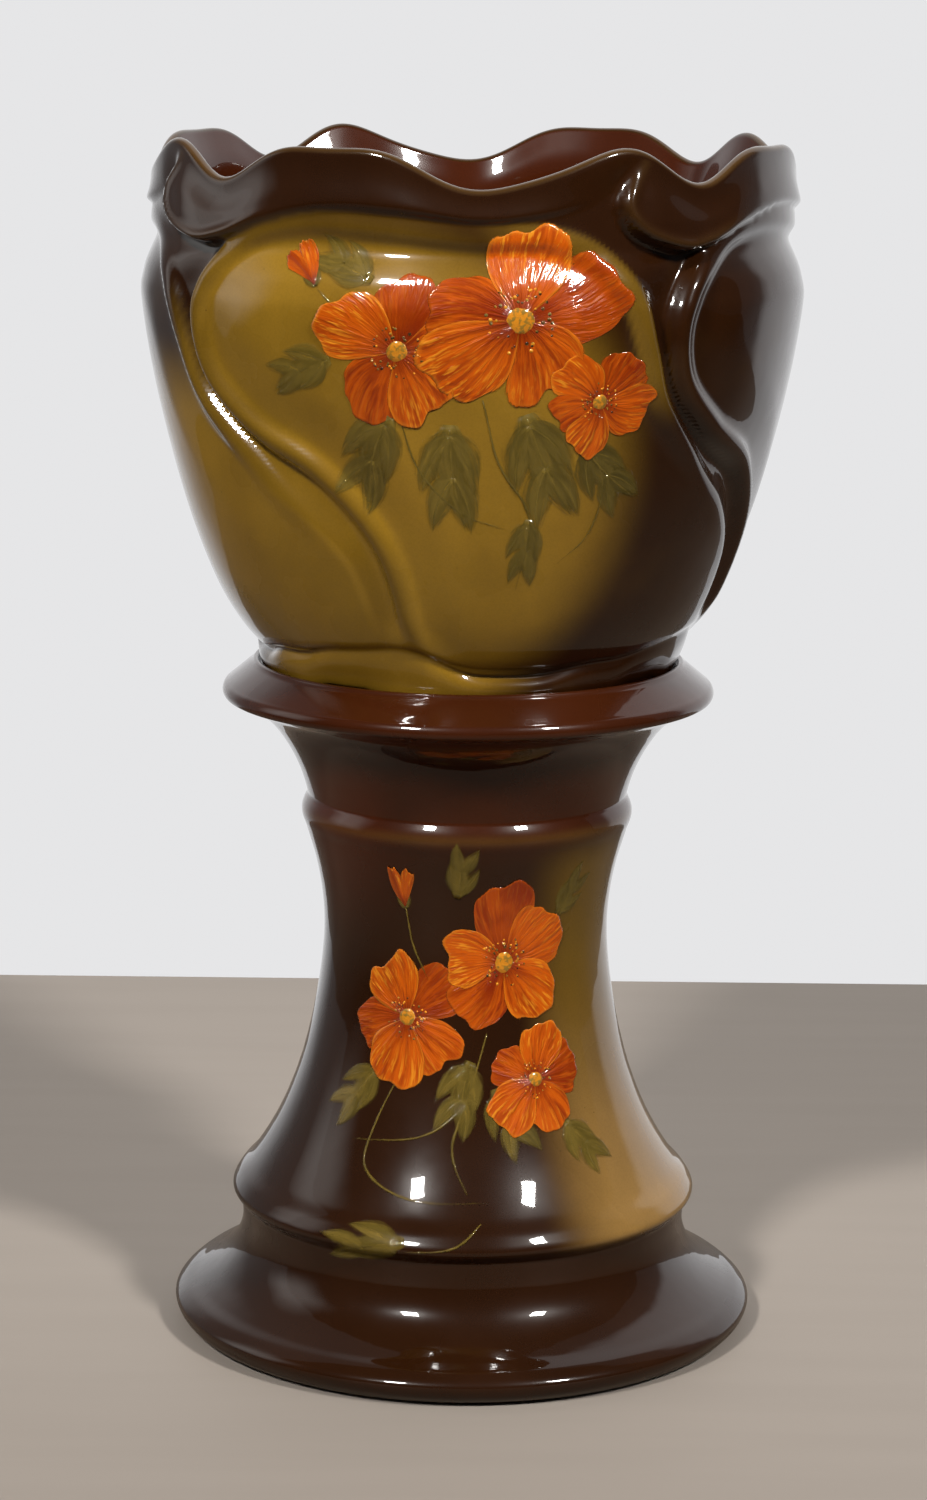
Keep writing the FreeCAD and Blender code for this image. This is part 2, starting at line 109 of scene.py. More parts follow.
# A span is (start, over): a soft step begins at start and is done after over.
PROFILE_START = 0.007        # the body's profile begins this far under the foot's top
RELIEF_RISES = (0.0, 0.022)  # metres over the foot
VALLEY_WIDENS = (0.25, 0.35)     # shares of the pot's height, as the next two
VALLEY_DEEPENS = (0.10, 0.25)
VALLEY_EASES = (0.76, 0.08)
VALLEY_LOW_WIDTH = 0.6       # share of its width low down
VALLEY_LOW_DEPTH = 0.4       # share of its depth low down
VALLEY_EASING = 0.5          # share of its depth that it loses by the collar
PAINT_FALLS = (0.55, 0.40)   # across the stem, in halves of its width
BAND_START = 15.6            # degrees by which the band starts before its panel
BAND_FALLS = (52.0, 22.0)    # degrees along the panel, as the next two
LOBE_SETTLES = (-8.0, 22.0)
LOBE_FALLS = (2.0, 14.0)
BAND_THINS = (0.875, 0.11)   # shares of the pot's height, evenly
BAND_THINNING = 0.75         # share of its relief that it loses there
SCOOP_PLACE = (2.0, 0.925)   # middle of the hollow, as a point of the paths
BEAD_WIDTH = 0.75            # in radii of the band's edge
BEAD_THIN_GLAZE_AND_HIGHLIGHT = 0.3             # how pale the bead is painted: thin glaze over it, and a painted highlight
RIM_PAINT = (-0.03, 0.02)    # metres from the pot's top
FOOT_TUCK = 0.0025           # the standing ring ends this far inside the foot
FOOT_ROUNDING = 0.0015       # rounding at the foot's lower edge
NOTCH_HEIGHT = 0.0045        # height over which the notch above the foot ends
COLLAR_HOLD = (0.72, 0.28)   # share of the collar after which it turns to the rim
INSIDE_FOLLOWS = 0.8         # share of the creases that shows inside
INSIDE_CROWD = 1.7           # how far the rings inside crowd under the rim
FLOOR_ROUNDING = 0.02        # rounding between the wall and the pot's floor
FLOOR_RISES = (0.93, 0.07)   # share of the inside over which it rounds
FLARE_FALLS = (0.022, 0.05)  # metres under the rim
RIM_BLEND = 0.0012           # rounding between the rim's slope and the wall
RIM_KEEPS = 0.001            # metres under the rim that follow the slope only
EASING = 0.6                 # how far eased places move to their neighbours' middle


def length(name, metres, words):
    return FloatProperty(
        name=name, default=metres, description=words, subtype="DISTANCE", unit="LENGTH"
    )


def share(name, value, words):
    return FloatProperty(name=name, default=value, description=words, subtype="FACTOR")


def colour(name, rgb, words):
    return FloatVectorProperty(
        name=name, default=rgb, description=words, subtype="COLOR", size=3, min=0, max=1
    )


class PotSizes(bpy.types.PropertyGroup):
    """Sizes of the jardiniere."""

    radius: length("Radius", 0.1959, "Widest round of the body")
    widest: share("Widest", 0.72, "Height of that round as a share of the pot")
    collar: length("Collar", 0.188, "Radius of the collar's ground")
    rim: length("Rim", 0.186, "Radius of the middle of the rim")
    rim_thickness: length("Rim thickness", 0.007, "Thickness of the rounded rim")
    rim_middle: share("Rim middle", 0.9692, "Mean height of the waved rim")
    wall: length("Wall", 0.0085, "Thickness of the cast wall")
    flare: length("Flare", 0.0025, "How far the wall thickens under the rim")
    rim_slope: share("Rim slope", 0.36, "How steeply the rim opens over the inside")
    foot: length("Foot", 0.1245, "Outside radius of the foot")
    foot_height: length("Foot height", 0.0226, "Mean height of the foot")
    foot_notch: length("Foot notch", 0.0022, "Depth of the crease over the foot")
    foot_swell: length("Foot swell", 0.0026, "How far the foot's band swells")
    foot_width: length("Foot width", 0.010, "Width of the ring that it stands on")
    recess: length("Recess", 0.004, "Hollow under the pot inside that ring")
    arch_angle: FloatProperty(name="Arch", default=15.0, description="Middle of each foot arch")
    arch_span: FloatProperty(name="Arch span", default=31.0, description="Width of it, degrees")
    arch: length("Arch height", 0.0045, "Height of each low arch in the foot")


class ReliefSizes(bpy.types.PropertyGroup):
    """Sizes of the moulded scrolls and of the collar band."""

    stem: length("Stem", 0.010, "Half the width of the rounded stem")
    crest: length("Crest", 0.0024, "How far the stem stands over the ground")
    pillow: length("Pillow", 0.0032, "How far a panel swells inside its stem")
    pillow_width: length("Pillow width", 0.034, "Distance over which it swells")
    valley: length("Valley", 0.0085, "Depth of the crease outside the stem")
    valley_width: length("Valley width", 0.036, "Distance over which it rises again")
    band: length("Band", 0.0055, "How far the collar band stands out")
    lobe: length("Lobe", 0.008, "The same at the band's rounded start")
    band_edge: length("Band edge", 0.004, "Radius of the band's rounded edge")
    lip: length("Lip", 0.0022, "Bead along the edge of the rounded start")
    scoop: length("Scoop", 0.0034, "Hollow in the band's rounded start")
    scoop_radius: length("Scoop radius", 0.036, "Reach of that hollow")


class StandSizes(bpy.types.PropertyGroup):
    """Sizes of the pedestal."""

    base: length("Base", 0.178, "Widest round of the base")
    base_height: length("Base height", 0.075, "Floor to the crease under the bell")
    bell: length("Bell", 0.1424, "Widest round of the bell")
    crease: length("Crease", 0.0056, "How far the crease lies inside the bell")
    waist: length("Waist", 0.0867, "Slimmest part of the column")
    ring_height: length("Ring height", 0.3205, "Floor to the neck ring")
    ring_width: length("Ring width", 0.019, "Height of the neck ring itself")
    ring: length("Ring", 0.1006, "Outside of the neck ring")
    ring_proud: length("Ring proud", 0.003, "How far the neck ring stands out")
    flange: length("Flange", 0.1483, "Outer edge of the flange")
    flange_drop: length("Flange drop", 0.0194, "Lip crest to the flange's edge")
    flange_edge: length("Flange edge", 0.006, "Half the thickness of that edge")
    lip: length("Lip", 0.002, "Radius of the lip round the seat")
    seat_depth: length("Seat depth", 0.006, "Lip crest to the seat's floor")
    seat_gap: length("Seat gap", 0.0015, "Gap between the pot's foot and the lip")
    wall: length("Wall", 0.009, "Thickness of the cast wall")


class GlazeColours(bpy.types.PropertyGroup):
    """Colours of the glazes and of the painted slip."""

    dark: colour("Dark brown", (0.0185, 0.0056, 0.0012), "Standing glaze of both pieces")
    russet: colour("Russet", (0.047, 0.0092, 0.0020), "Redder glaze inside and on the flange")
    gold: colour("Gold", (0.218, 0.121, 0.011), "Light ground of the panels")
    olive: colour("Olive", (0.130, 0.072, 0.007), "Greener ground of the stems")
    # Straw also paints the paler crest lines: thin glaze there, and a painted highlight.
    straw: colour("Straw", (0.30, 0.172, 0.048), "Palest ground, low on the pedestal")
    orange: colour("Orange", (0.42, 0.070, 0.002), "Petals")
    ember: colour("Ember", (0.17, 0.015, 0.001), "Shaded parts of the petals")
    yellow: colour("Yellow", (0.62, 0.23, 0.013), "Lit edges of the petals")
    leaf: colour("Leaf", (0.155, 0.105, 0.018), "Leaves and stalks")
    shade_leaf: colour("Shaded leaf", (0.075, 0.054, 0.011), "Leaves in shade")


class StageSettings(bpy.types.PropertyGroup):
    """Floor, wall, lamps and camera."""

    floor: colour("Floor", (0.30, 0.264, 0.232), "Plain floor")
    wall: colour("Wall", (0.79, 0.79, 0.80), "Plain wall behind")
    wall_distance: length("Wall distance", 0.79, "From the pedestal's axis to the wall")
    key: FloatProperty(name="Key", default=16.0, description="Power of each small lamp")
    spread: FloatProperty(name="Spread", default=44.0, description="Spread of each, degrees")
    side: FloatProperty(name="Side", default=11.0, description="Power of the side panel")
    fill: share("Fill", 0.10, "Strength of the room's even light")
    sheen: share("Sheen", 0.03, "The same as the glaze mirrors it")
    camera_distance: length("Camera distance", 2.24, "From the axis to the camera")
    camera_height: length("Camera height", 0.809, "Floor to the camera")
    camera_aside: length("Camera aside", -0.0024, "Axis to the camera, to the right")
    camera_pitch: FloatProperty(name="Pitch", default=11.459, description="Degrees down")
    camera_roll: FloatProperty(name="Roll", default=0.6, description="Degrees of roll")
    lens: FloatProperty(name="Lens", default=90.36, description="Focal length, mm")


# ---- Arithmetic shared by the two pieces ---------------------------------
def mix(start, end, amount):
    return start + (end - start) * amount


def smooth(value):
    """A soft step: 0 below 0, 1 above 1."""
    value = np.clip(value, 0.0, 1.0)
    return value * value * (3.0 - 2.0 * value)


def rise(value, start, over):
    return smooth((value - start) / over)


def fall(value, start, over):
    return 1.0 - rise(value, start, over)


def patch(x, y, middle, half, start, over):
    """1 in an oval that fades out; start and over are shares of its half size."""
    return fall(np.hypot((x - middle[0]) / half[0], (y - middle[1]) / half[1]), start, over)


def curve_through(knots, steps):
    """Points of a smooth curve through the knots."""
    knots = np.array(knots, float)
    ends = np.vstack([2 * knots[0] - knots[1], knots, 2 * knots[-1] - knots[-2]])
    points = []
    for before, start, end, after in zip(ends, ends[1:], ends[2:], ends[3:]):
        spans = [max(math.sqrt(np.linalg.norm(b - a)), 1e-9)
                 for a, b in ((before, start), (start, end), (end, after))]
        lead = (start - before) / spans[0] - (end - before) / (spans[0] + spans[1])
        lead = (lead + (end - start) / spans[1]) * spans[1]
        trail = (end - start) / spans[1] - (after - start) / (spans[1] + spans[2])
        trail = (trail + (after - end) / spans[2]) * spans[1]
        for step in range(steps):
            t = step / steps
            points.append(
                start * (2 * t**3 - 3 * t**2 + 1) + lead * (t**3 - 2 * t**2 + t)
                + end * (3 * t**2 - 2 * t**3) + trail * (t**3 - t**2)
            )
    points.append(knots[-1])
    return np.array(points)


def path_field(path, along, height):
    """Distance to a path, the side it lies on and the share of the path, for arrays."""
    steps = np.diff(path, axis=0)
    lengths = np.hypot(steps[:, 0], steps[:, 1])
    starts = np.concatenate([[0.0], np.cumsum(lengths)])
    found = []
    for first in range(0, len(along), CHUNK):
        x, y = along[first:first + CHUNK], height[first:first + CHUNK]
        nearest = np.argmin(
            (x[:, None] - path[:, 0]) ** 2 + (y[:, None] - path[:, 1]) ** 2, axis=1)
        best = None
        for step in (nearest - 1, nearest):
            step = np.clip(step, 0, len(steps) - 1)
            dx, dy = steps[step, 0], steps[step, 1]
            ox, oy = x - path[step, 0], y - path[step, 1]
            t = np.clip((ox * dx + oy * dy) / lengths[step] ** 2, 0.0, 1.0)
            gap = np.hypot(ox - t * dx, oy - t * dy)
            side = np.where(dx * oy - dy * ox < 0, -1.0, 1.0)
            place = (starts[step] + t * lengths[step]) / starts[-1]
            field = (gap, side, place)
            if best is not None:
                field = [np.where(gap < best[0], new, old) for new, old in zip(field, best)]
            best = field
        found.append(best)
    return tuple(np.concatenate(part) for part in zip(*found))


class PotSurface:
    """The pot's outside as radius by angle and height, with its relief."""

    def __init__(self, sizes, relief):
        self.s = sizes
        self.r = relief
        self.low = POT_LOW.z
        self.height = POT_HIGH.z - POT_LOW.z
        self.widest_z = self.low + sizes.widest * self.height
        self.body_z = self.low + sizes.foot_height - PROFILE_START
        self.top_z = self.low + self.height
        body = [(mix(self.body_z, self.widest_z, h), mix(sizes.foot, sizes.radius, w))
                for h, w in BODY_SHAPE]
        body += [(mix(self.widest_z, self.top_z, h), mix(sizes.collar, sizes.radius, w))
                 for h, w in SHOULDER_SHAPE]
        self.ground = curve_through(body, PROFILE_STEPS)
        self.stem = self.laid_flat(STEM_PATH)
        self.left = self.laid_flat(STEM_PATH[:LEFT_STEM_POINTS] + VALLEY_TOP)
        self.band = self.laid_flat(BAND_PATH)

    def up(self, z):
        """Share of the pot's height."""
        return (z - self.low) / self.height

    def unrolled(self, angle, share_up):
        return np.radians(angle) * self.s.collar, self.low + share_up * self.height

    def laid_flat(self, path):
        return curve_through([self.unrolled(*point) for point in path], PATH_STEPS)

    def ground_radius(self, z):
        return np.interp(z, self.ground[:, 0], self.ground[:, 1])

    def nearest_copy(self, path, angle, z):
        """path_field against the path and its copies in the next panels."""
        found = None
        for turn in (-PANEL_ANGLE, 0.0, PANEL_ANGLE):
            along = np.radians(angle % PANEL_ANGLE + turn) * self.s.collar
            field = path_field(path, along, z)
            if found is None:
                found = field
                continue
            nearer = field[0] < found[0]
            found = tuple(np.where(nearer, new, old) for new, old in zip(field, found))
        return found

    def panel_relief(self, angle, z):
        """Stem, swelling panel and valley, worked out once for all the like panels."""
        keys, back = np.unique(
            np.round(angle % PANEL_ANGLE, 5) + 1j * np.round(z, 8), return_inverse=True)
        back = back.reshape(angle.shape)
        return tuple(part[back] for part in self.one_panel(keys.real, keys.imag))

    def one_panel(self, angle, z):
        """Change of radius, and masks of the panel inside its stem and of the stem."""
        r = self.r
        gap, side, place = self.nearest_copy(self.stem, angle, z)
        left_gap, left_side, _ = self.nearest_copy(self.left, angle, z)
        shares = [row[0] for row in STEM_SECTION]
        crest = r.crest * np.interp(place, shares, [row[1] for row in STEM_SECTION])
        full = np.interp(place, shares, [row[2] for row in STEM_SECTION])
        inward = fall(gap, r.stem, r.pillow_width)
        up = self.up(z)
        width = r.valley_width * mix(VALLEY_LOW_WIDTH, 1.0, rise(up, *VALLEY_WIDENS))
        reach = np.where(left_side > 0, (left_gap - r.stem) / width, left_gap / r.stem)
        deep = mix(VALLEY_LOW_DEPTH, 1.0, rise(up, *VALLEY_DEEPENS))
        deep = deep - VALLEY_EASING * rise(up, *VALLEY_EASES)
        outside = -r.valley * (1.0 - smooth(reach)) * deep
        inside = mix(outside, -r.pillow * inward, full)
        across = side * gap / r.stem
        base = mix(inside, outside, smooth((across + 1.0) / 2.0))
        base = np.where(across < -1.0, inside, np.where(across > 1.0, outside, base))
        held = np.clip(across, -1.0, 1.0)
        section = np.where(across > 0, 1.0 - held**3, 0.5 + 0.5 * np.cos(np.pi * held))
        low = rise(z - self.foot_top(angle), *RELIEF_RISES)
        change = (base + full * (crest - base) * section) * low
        return change, fall(across, *PAINT_FALLS) * low, full * section * low

    def band_relief(self, angle, z):
        """The collar band, which starts in a rounded lobe at each panel's dip."""
        r = self.r
        angle = (angle + BAND_START) % PANEL_ANGLE - BAND_START
        along = np.radians(angle) * self.s.collar
        gap, side, _ = path_field(self.band, along, z)
        depth = np.where(side > 0, gap, -gap)
        cover = np.sqrt(1.0 - (1.0 - np.clip(depth / r.band_edge, 0.0, 1.0)) ** 2)
        end = fall(angle, *BAND_FALLS)
        step = mix(r.lobe, r.band, rise(angle, *LOBE_SETTLES)) * end
        start, over = BAND_THINS
        step = step * (1.0 - BAND_THINNING * np.clip((self.up(z) - start) / over, 0.0, 1.0))
        x, y = self.unrolled(*SCOOP_PLACE)
        hollow = fall(np.hypot(along - x, z - y), 0.0, r.scoop_radius)
        bead = np.exp(-((depth / r.band_edge - 1.0) / BEAD_WIDTH) ** 2) * fall(angle, *LOBE_FALLS)
        change = cover * (step - r.scoop * hollow + r.lip * bead)
        painted = cover * mix(end, 1.0, rise(z - self.top_z, *RIM_PAINT))
        # The third mask paints the bead paler: thin glaze over it, and a painted highlight.
        return change, painted, bead * cover * BEAD_THIN_GLAZE_AND_HIGHLIGHT, cover * end

    def relief(self, angle, z):
        """Both together; the panel's relief runs out under the band."""
        panel, within, stem = self.panel_relief(angle, z)
        step, band, bead, over = self.band_relief(angle, z)
        return panel * (1.0 - over) + step, within, stem, band, bead

    def outside(self, angle, z):
        return self.ground_radius(z) + self.relief(angle, z)[0]

    def waves(self, table, angle):
        return sum(size * np.cos(np.radians(count * (angle - phase)))
                   for count, size, phase in table) * self.height

    def rim_z(self, angle):
        return self.low + self.s.rim_middle * self.height + self.waves(RIM_WAVES, angle)

    def foot_top(self, angle):
        return self.low + self.s.foot_height + self.waves(FOOT_WAVES, angle)

    def arch(self, angle):
        half = PANEL_ANGLE / 2
        offset = np.abs((angle - self.s.arch_angle + half) % PANEL_ANGLE - half)
        return self.s.arch * fall(offset, self.s.arch_span / 6, self.s.arch_span / 3)

    def ring(self, zone, t, angle):
        """Radius, height and paint masks of one zone of the skin; t runs 0..1 along it."""
        s = self.s
        none = np.zeros(angle.shape)
        within, stem, band, bead = none, none, none, none
        inner = s.foot - s.foot_width - s.recess
        outer = s.foot - FOOT_TUCK
        half = s.rim_thickness / 2
        rim_turn = math.pi - math.atan(s.rim_slope)
        roof = self.low + s.recess
        floor = roof + s.wall
        if zone == "recess":
            radius, z = mix(0.0, inner, t) + none, roof + none
        elif zone == "stand":
            radius = mix(inner, outer, t) + none
            z = mix(roof, self.low + self.arch(angle), rise(t, 0.08, 0.3))
        elif zone == "foot":
            low, top = self.low + self.arch(angle), self.foot_top(angle)
            crease = self.ground_radius(top) - s.foot_notch
            swell = s.foot_swell * np.sin(np.pi * t**1.25)
            swell = swell + FOOT_ROUNDING * np.minimum(t * 8.0, 1.0)
            radius = mix(outer, crease, t**2) + swell * (1.0 - t**8)
            z = mix(low, top, t)
        elif zone in ("body", "collar"):
            if zone == "body":
                z = mix(self.foot_top(angle), self.widest_z, t**1.05)
            else:
                z = mix(self.widest_z, self.rim_z(angle) - half, t)
            change, within, stem, band, bead = self.relief(angle, z)
            notch = s.foot_notch * fall(z - self.foot_top(angle), 0.0, NOTCH_HEIGHT)
            radius = self.ground_radius(z) + change - notch
            if zone == "collar":
                radius = mix(radius, s.rim + half, rise(t, *COLLAR_HOLD))
        elif zone == "rim":
            turn = t * rim_turn
            radius = s.rim + half * np.cos(turn)
            z = self.rim_z(angle) - half + half * np.sin(turn)
            band = none + 1.0
            # The rim's crest is painted paler: thin glaze over it, and a painted highlight.
            bead = np.sin(np.pi * t)
        elif zone == "inside":
            along = t**INSIDE_CROWD
            rim_foot = self.rim_z(angle) - half + half * math.sin(rim_turn)
            z = mix(rim_foot, floor, along)
            down = rim_foot - z
            creases = INSIDE_FOLLOWS * np.minimum(self.panel_relief(angle, z)[0], 0.0)
            wall = self.ground_radius(z) - s.wall + creases
            wall = wall - FLOOR_ROUNDING * rise(along, *FLOOR_RISES) ** 2
            wall = wall - s.flare * fall(down, *FLARE_FALLS)
            slope = s.rim + half * math.cos(rim_turn) - s.rim_slope * down
            radius = 0.5 * (slope + wall + np.hypot(slope - wall, RIM_BLEND))
            radius = np.where(down < RIM_KEEPS, slope, radius)
        else:
            wall = self.ground_radius(floor) - s.wall - FLOOR_ROUNDING
            radius, z = mix(wall, 0.0, t) + none, floor + none
        inside = none + float(zone in ("inside", "floor"))
        return radius, z, (within, stem, band, bead, inside)


def stand_profile(s):
    """The pedestal's closed profile as runs of (radius, height), from its foot up."""
    foot_of_bell = s.bell - s.crease
    base = [(mix(foot_of_bell, s.base, w), s.base_height * h) for h, w in BASE_SHAPE]
    ring_foot = s.ring - s.ring_proud
    ring_low = (ring_foot + 0.0004, s.ring_height - s.ring_width / 2)
    ring_top = (ring_foot - 0.0008, s.ring_height + s.ring_width / 2)
    bell = [(mix(s.waist, s.bell, w), mix(s.base_height, ring_low[1], h)) for h, w in BELL_SHAPE]
    bell = [base[-1], *bell, ring_low]
    ring = [(mix(ring_low[0], ring_top[0], t) + s.ring_proud * math.sin(math.pi * t),
             mix(ring_low[1], ring_top[1], t)) for t in np.linspace(0, 1, 13)]
    edge_z = STAND_HIGH.z - s.flange_drop
    under = (s.flange - s.flange_edge, edge_z - s.flange_edge * 0.7)
    throat = [(mix(ring_top[0], under[0], w), mix(ring_top[1], under[1], h))
              for h, w in THROAT_SHAPE]
    rounding = s.flange - 0.0012
    over = (s.flange - 0.65 * s.flange_edge, edge_z + s.flange_edge)
    edge = curve_through([under, (rounding, edge_z - 0.0032), (s.flange, edge_z),
                          (rounding, edge_z + 0.0036), over], 5)
    seat = s.seat_gap + bpy.context.scene.jardiniere_pot.foot
    lip = [(seat + s.lip + s.lip * math.sin(a), STAND_HIGH.z - s.lip + s.lip * math.cos(a))
           for a in np.linspace(math.pi * 0.42, -math.pi / 2, 12)]
    start, end = np.array(edge[-1]), np.array(lip[0])
    slope = [tuple(mix(start, end, t)) for t in np.linspace(0, 1, 8)[1:-1]]
    shown = [*curve_through(base, 8), *curve_through(bell, 9)[1:], *ring[1:],
             *curve_through(throat, 6)[1:], *edge[1:], *slope, *lip]
    floor_z = STAND_HIGH.z - s.seat_depth
    seat_floor = [(seat * t, floor_z) for t in (1.0, 0.97, 0.9, 0.7, 0.4, 0.0)]
    ceiling = floor_z - s.wall
    followed = [*base[0:10:2], *bell[3:10:2], ring_low, throat[1], throat[3]]
    offset = [(radius - s.wall, z) for radius, z in followed]
    offset.append((offset[-1][0] + 0.5 * (ceiling - offset[-1][1]), ceiling))
    hollow = [tuple(point) for point in curve_through(offset, 5)][::-1]
    roof = [(hollow[0][0] * t, ceiling) for t in (0.0, 0.5, 0.95)]
    return shown, seat_floor, roof, hollow


# ---- Meshes --------------------------------------------------------------
def turned_sheet(rings, columns):
    """A grid to be bent round the Z axis: its mesh, and ring and column of each vertex."""
    bm = bmesh.new()
    bmesh.ops.create_grid(bm, x_segments=columns, y_segments=rings - 1, size=0.5)
    mesh = bpy.data.meshes.new("turned")
    bm.to_mesh(mesh)
    bm.free()
    flat = mesh_arrays(mesh)
    ring = np.rint((flat[:, 1] + 0.5) * (rings - 1)).astype(int)
    column = np.rint((flat[:, 0] + 0.5) * columns).astype(int) % columns
    return mesh, ring, column


def eased(places, ring, column, first, last):
    """Places with the rings between first and last drawn towards their neighbours."""
    grid = np.zeros((ring.max() + 1, column.max() + 1, 3))
    grid[ring, column] = places
    beside = np.roll(grid, 1, axis=1) + np.roll(grid, -1, axis=1)
    above = grid[first + 1:last + 1] + grid[first - 1:last - 1]
    grid[first:last] = mix(grid[first:last], (beside[first:last] + above) / 4.0, EASING)
    return grid[ring, column]


def on_axis(radius, degrees, z):
    """Places at a radius and a height, turned from the shown front."""
    turn = np.radians(degrees)
    return np.column_stack([radius * np.sin(turn), -radius * np.cos(turn), z])


def mesh_arrays(mesh):
    places = np.empty(len(mesh.vertices) * 3)
    mesh.vertices.foreach_get("co", places)
    return places.reshape(-1, 3)


def set_places(mesh, places):
    mesh.vertices.foreach_set("co", np.ascontiguousarray(places, float).ravel())
    mesh.update()


def set_mask(mesh, name, values):
    layer = mesh.attributes.new(name, "FLOAT", "POINT")
    layer.data.foreach_set("value", np.ascontiguousarray(values, np.float32))


def clean(mesh, gap=1e-6):
    """Merges doubles, turns every face outward and shades it smooth."""
    bm = bmesh.new()
    bm.from_mesh(mesh)
    bmesh.ops.remove_doubles(bm, verts=bm.verts, dist=gap)
    bmesh.ops.recalc_face_normals(bm, faces=bm.faces)
    for face in bm.faces:
        face.smooth = True
    bm.to_mesh(mesh)
    bm.free()


def add_piece(name, mesh, material, body):
    piece = bpy.data.objects.new(name, mesh)
    bpy.context.scene.collection.objects.link(piece)
    mesh.materials.append(material)
    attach(piece, body)
    return piece


def around(places):
    """Degrees from the shown front, positive to the right of it."""
    return np.degrees(np.arctan2(places[:, 0], -places[:, 1]))


# ---- Shader building -----------------------------------------------------
GLASS_IOR = 1.5
SLIP_ROUGHNESS = 0.3
SPECK = (0.012, 0.006, 0.002)
GREY = (0.6, 0.6, 0.6)


class Shader:
    """A node material, lamp or room and the few kinds of node that they use."""

    def __init__(self, name, tree=None):
        if tree is None:
            self.material = bpy.data.materials.new(name)
            self.material.use_nodes = True
            tree = self.material.node_tree
        self.tree = tree
        self.tree.nodes.clear()

    def node(self, kind, inputs=(), **settings):
        made = self.tree.nodes.new(kind)
        for name, value in settings.items():
            setattr(made, name, value)
        for socket, value in dict(inputs).items():
            self.feed(made.inputs[socket], value)
        return made

    def feed(self, socket, value):
        if isinstance(value, bpy.types.NodeSocket):
            self.tree.links.new(value, socket)
        elif hasattr(value, "__len__") and len(value) == 3 and socket.type == "RGBA":
            socket.default_value = (*value, 1.0)
        else:
            socket.default_value = value

    def place(self, scale=(1, 1, 1)):
        where = self.node("ShaderNodeTexCoord").outputs["Object"]
        return self.node("ShaderNodeMapping", {"Vector": where, "Scale": scale}).outputs[0]

    def mask(self, name):
        return self.node("ShaderNodeAttribute", attribute_name=name).outputs["Fac"]

    def noise(self, where, scale, detail=2.0, roughness=0.5):
        return self.node(
            "ShaderNodeTexNoise",
            {"Vector": where, "Scale": scale, "Detail": detail, "Roughness": roughness},
        ).outputs["Fac"]

    def math(self, kind, first, second=0.0, clamp=False):
        return self.node(
            "ShaderNodeMath", {0: first, 1: second}, operation=kind, use_clamp=clamp
        ).outputs[0]

    def fit(self, value, low, high, start=0.0, end=1.0):
        return self.node(
            "ShaderNodeMapRange", {0: value, 1: low, 2: high, 3: start, 4: end},
            interpolation_type="SMOOTHSTEP",
        ).outputs[0]

    def blend(self, amount, first, second, kind="MIX"):
        return self.node(
            "ShaderNodeMix", {0: amount, 6: first, 7: second}, data_type="RGBA", blend_type=kind
        ).outputs[2]

    def tinted(self, amount, base, tint):
        return self.blend(amount, base, self.blend(1.0, base, tint, "MULTIPLY"))

    def bump(self, height, distance, normal=None):
        inputs = {"Height": height, "Distance": distance, "Strength": 1.0}
        if normal is not None:
            inputs["Normal"] = normal
        return self.node("ShaderNodeBump", inputs).outputs[0]

    def surface(self, base, roughness, normal=None, coat_normal=None, coat=1.0, cover=None):
        inputs = {
            "Base Color": base, "Roughness": roughness, "IOR": GLASS_IOR,
            "Specular IOR Level": 0.08, "Coat Weight": coat, "Coat Roughness": 0.035,
            "Coat IOR": GLASS_IOR,
        }
        if normal is not None:
            inputs["Normal"] = normal
        if coat_normal is not None:
            inputs["Coat Normal"] = coat_normal
        shader = self.node("ShaderNodeBsdfPrincipled", inputs)
        if cover is not None:
            clear = self.node("ShaderNodeBsdfTransparent").outputs[0]
            shader = self.node("ShaderNodeMixShader", {0: cover, 1: clear, 2: shader.outputs[0]})
        self.node("ShaderNodeOutputMaterial", {"Surface": shader.outputs[0]})
        return self.material


def glaze_flow(shader):
    """Soft streaks, mottling and specks that all the glazes share."""
    streak = shader.noise(shader.place((16, 16, 3.5)), 1.0, 3.0)
    cloud = shader.noise(shader.place(), 11.0, 4.0, 0.55)
    grain = shader.noise(shader.place(), 900.0, 1.0)
    specks = shader.node(
        "ShaderNodeTexVoronoi", {"Vector": shader.place(), "Scale": 170.0}
    ).outputs["Distance"]
    speck = shader.math("MULTIPLY", shader.fit(specks, 0.10, 0.04),
                        shader.fit(shader.noise(shader.place(), 60.0, 1.0), 0.58, 0.66))
    ripple = shader.noise(shader.place(), 26.0, 2.0)
    return streak, cloud, grain, speck, ripple


def lit_part(shader, cloud, low, high):
    """The mask of the light ground, made a little cloudy."""
    return shader.math("MULTIPLY", shader.mask("light"),
                       shader.fit(cloud, 0.2, 0.8, low, high), True)


def finish_glaze(shader, base, flow):
    """Streaks, clouds, grain and specks in the colour, and ripples in the surface."""
    streak, cloud, grain, speck, ripple = flow
    for field, start, end, most, tint in (
        (streak, 0.35, 0.7, 0.32, (0.55, 0.5, 0.45)),
        (cloud, 0.4, 0.7, 0.25, (1.35, 1.3, 1.2)),
        (grain, 0.4, 0.65, 0.2, GREY),
    ):
        base = shader.tinted(shader.fit(field, start, end, 0.0, most), base, tint)
    base = shader.blend(shader.math("MULTIPLY", speck, 0.6), base, SPECK)
    coat = shader.bump(ripple, 0.00035)
    return shader.surface(base, shader.fit(cloud, 0.3, 0.7, 0.22, 0.34), coat, coat)


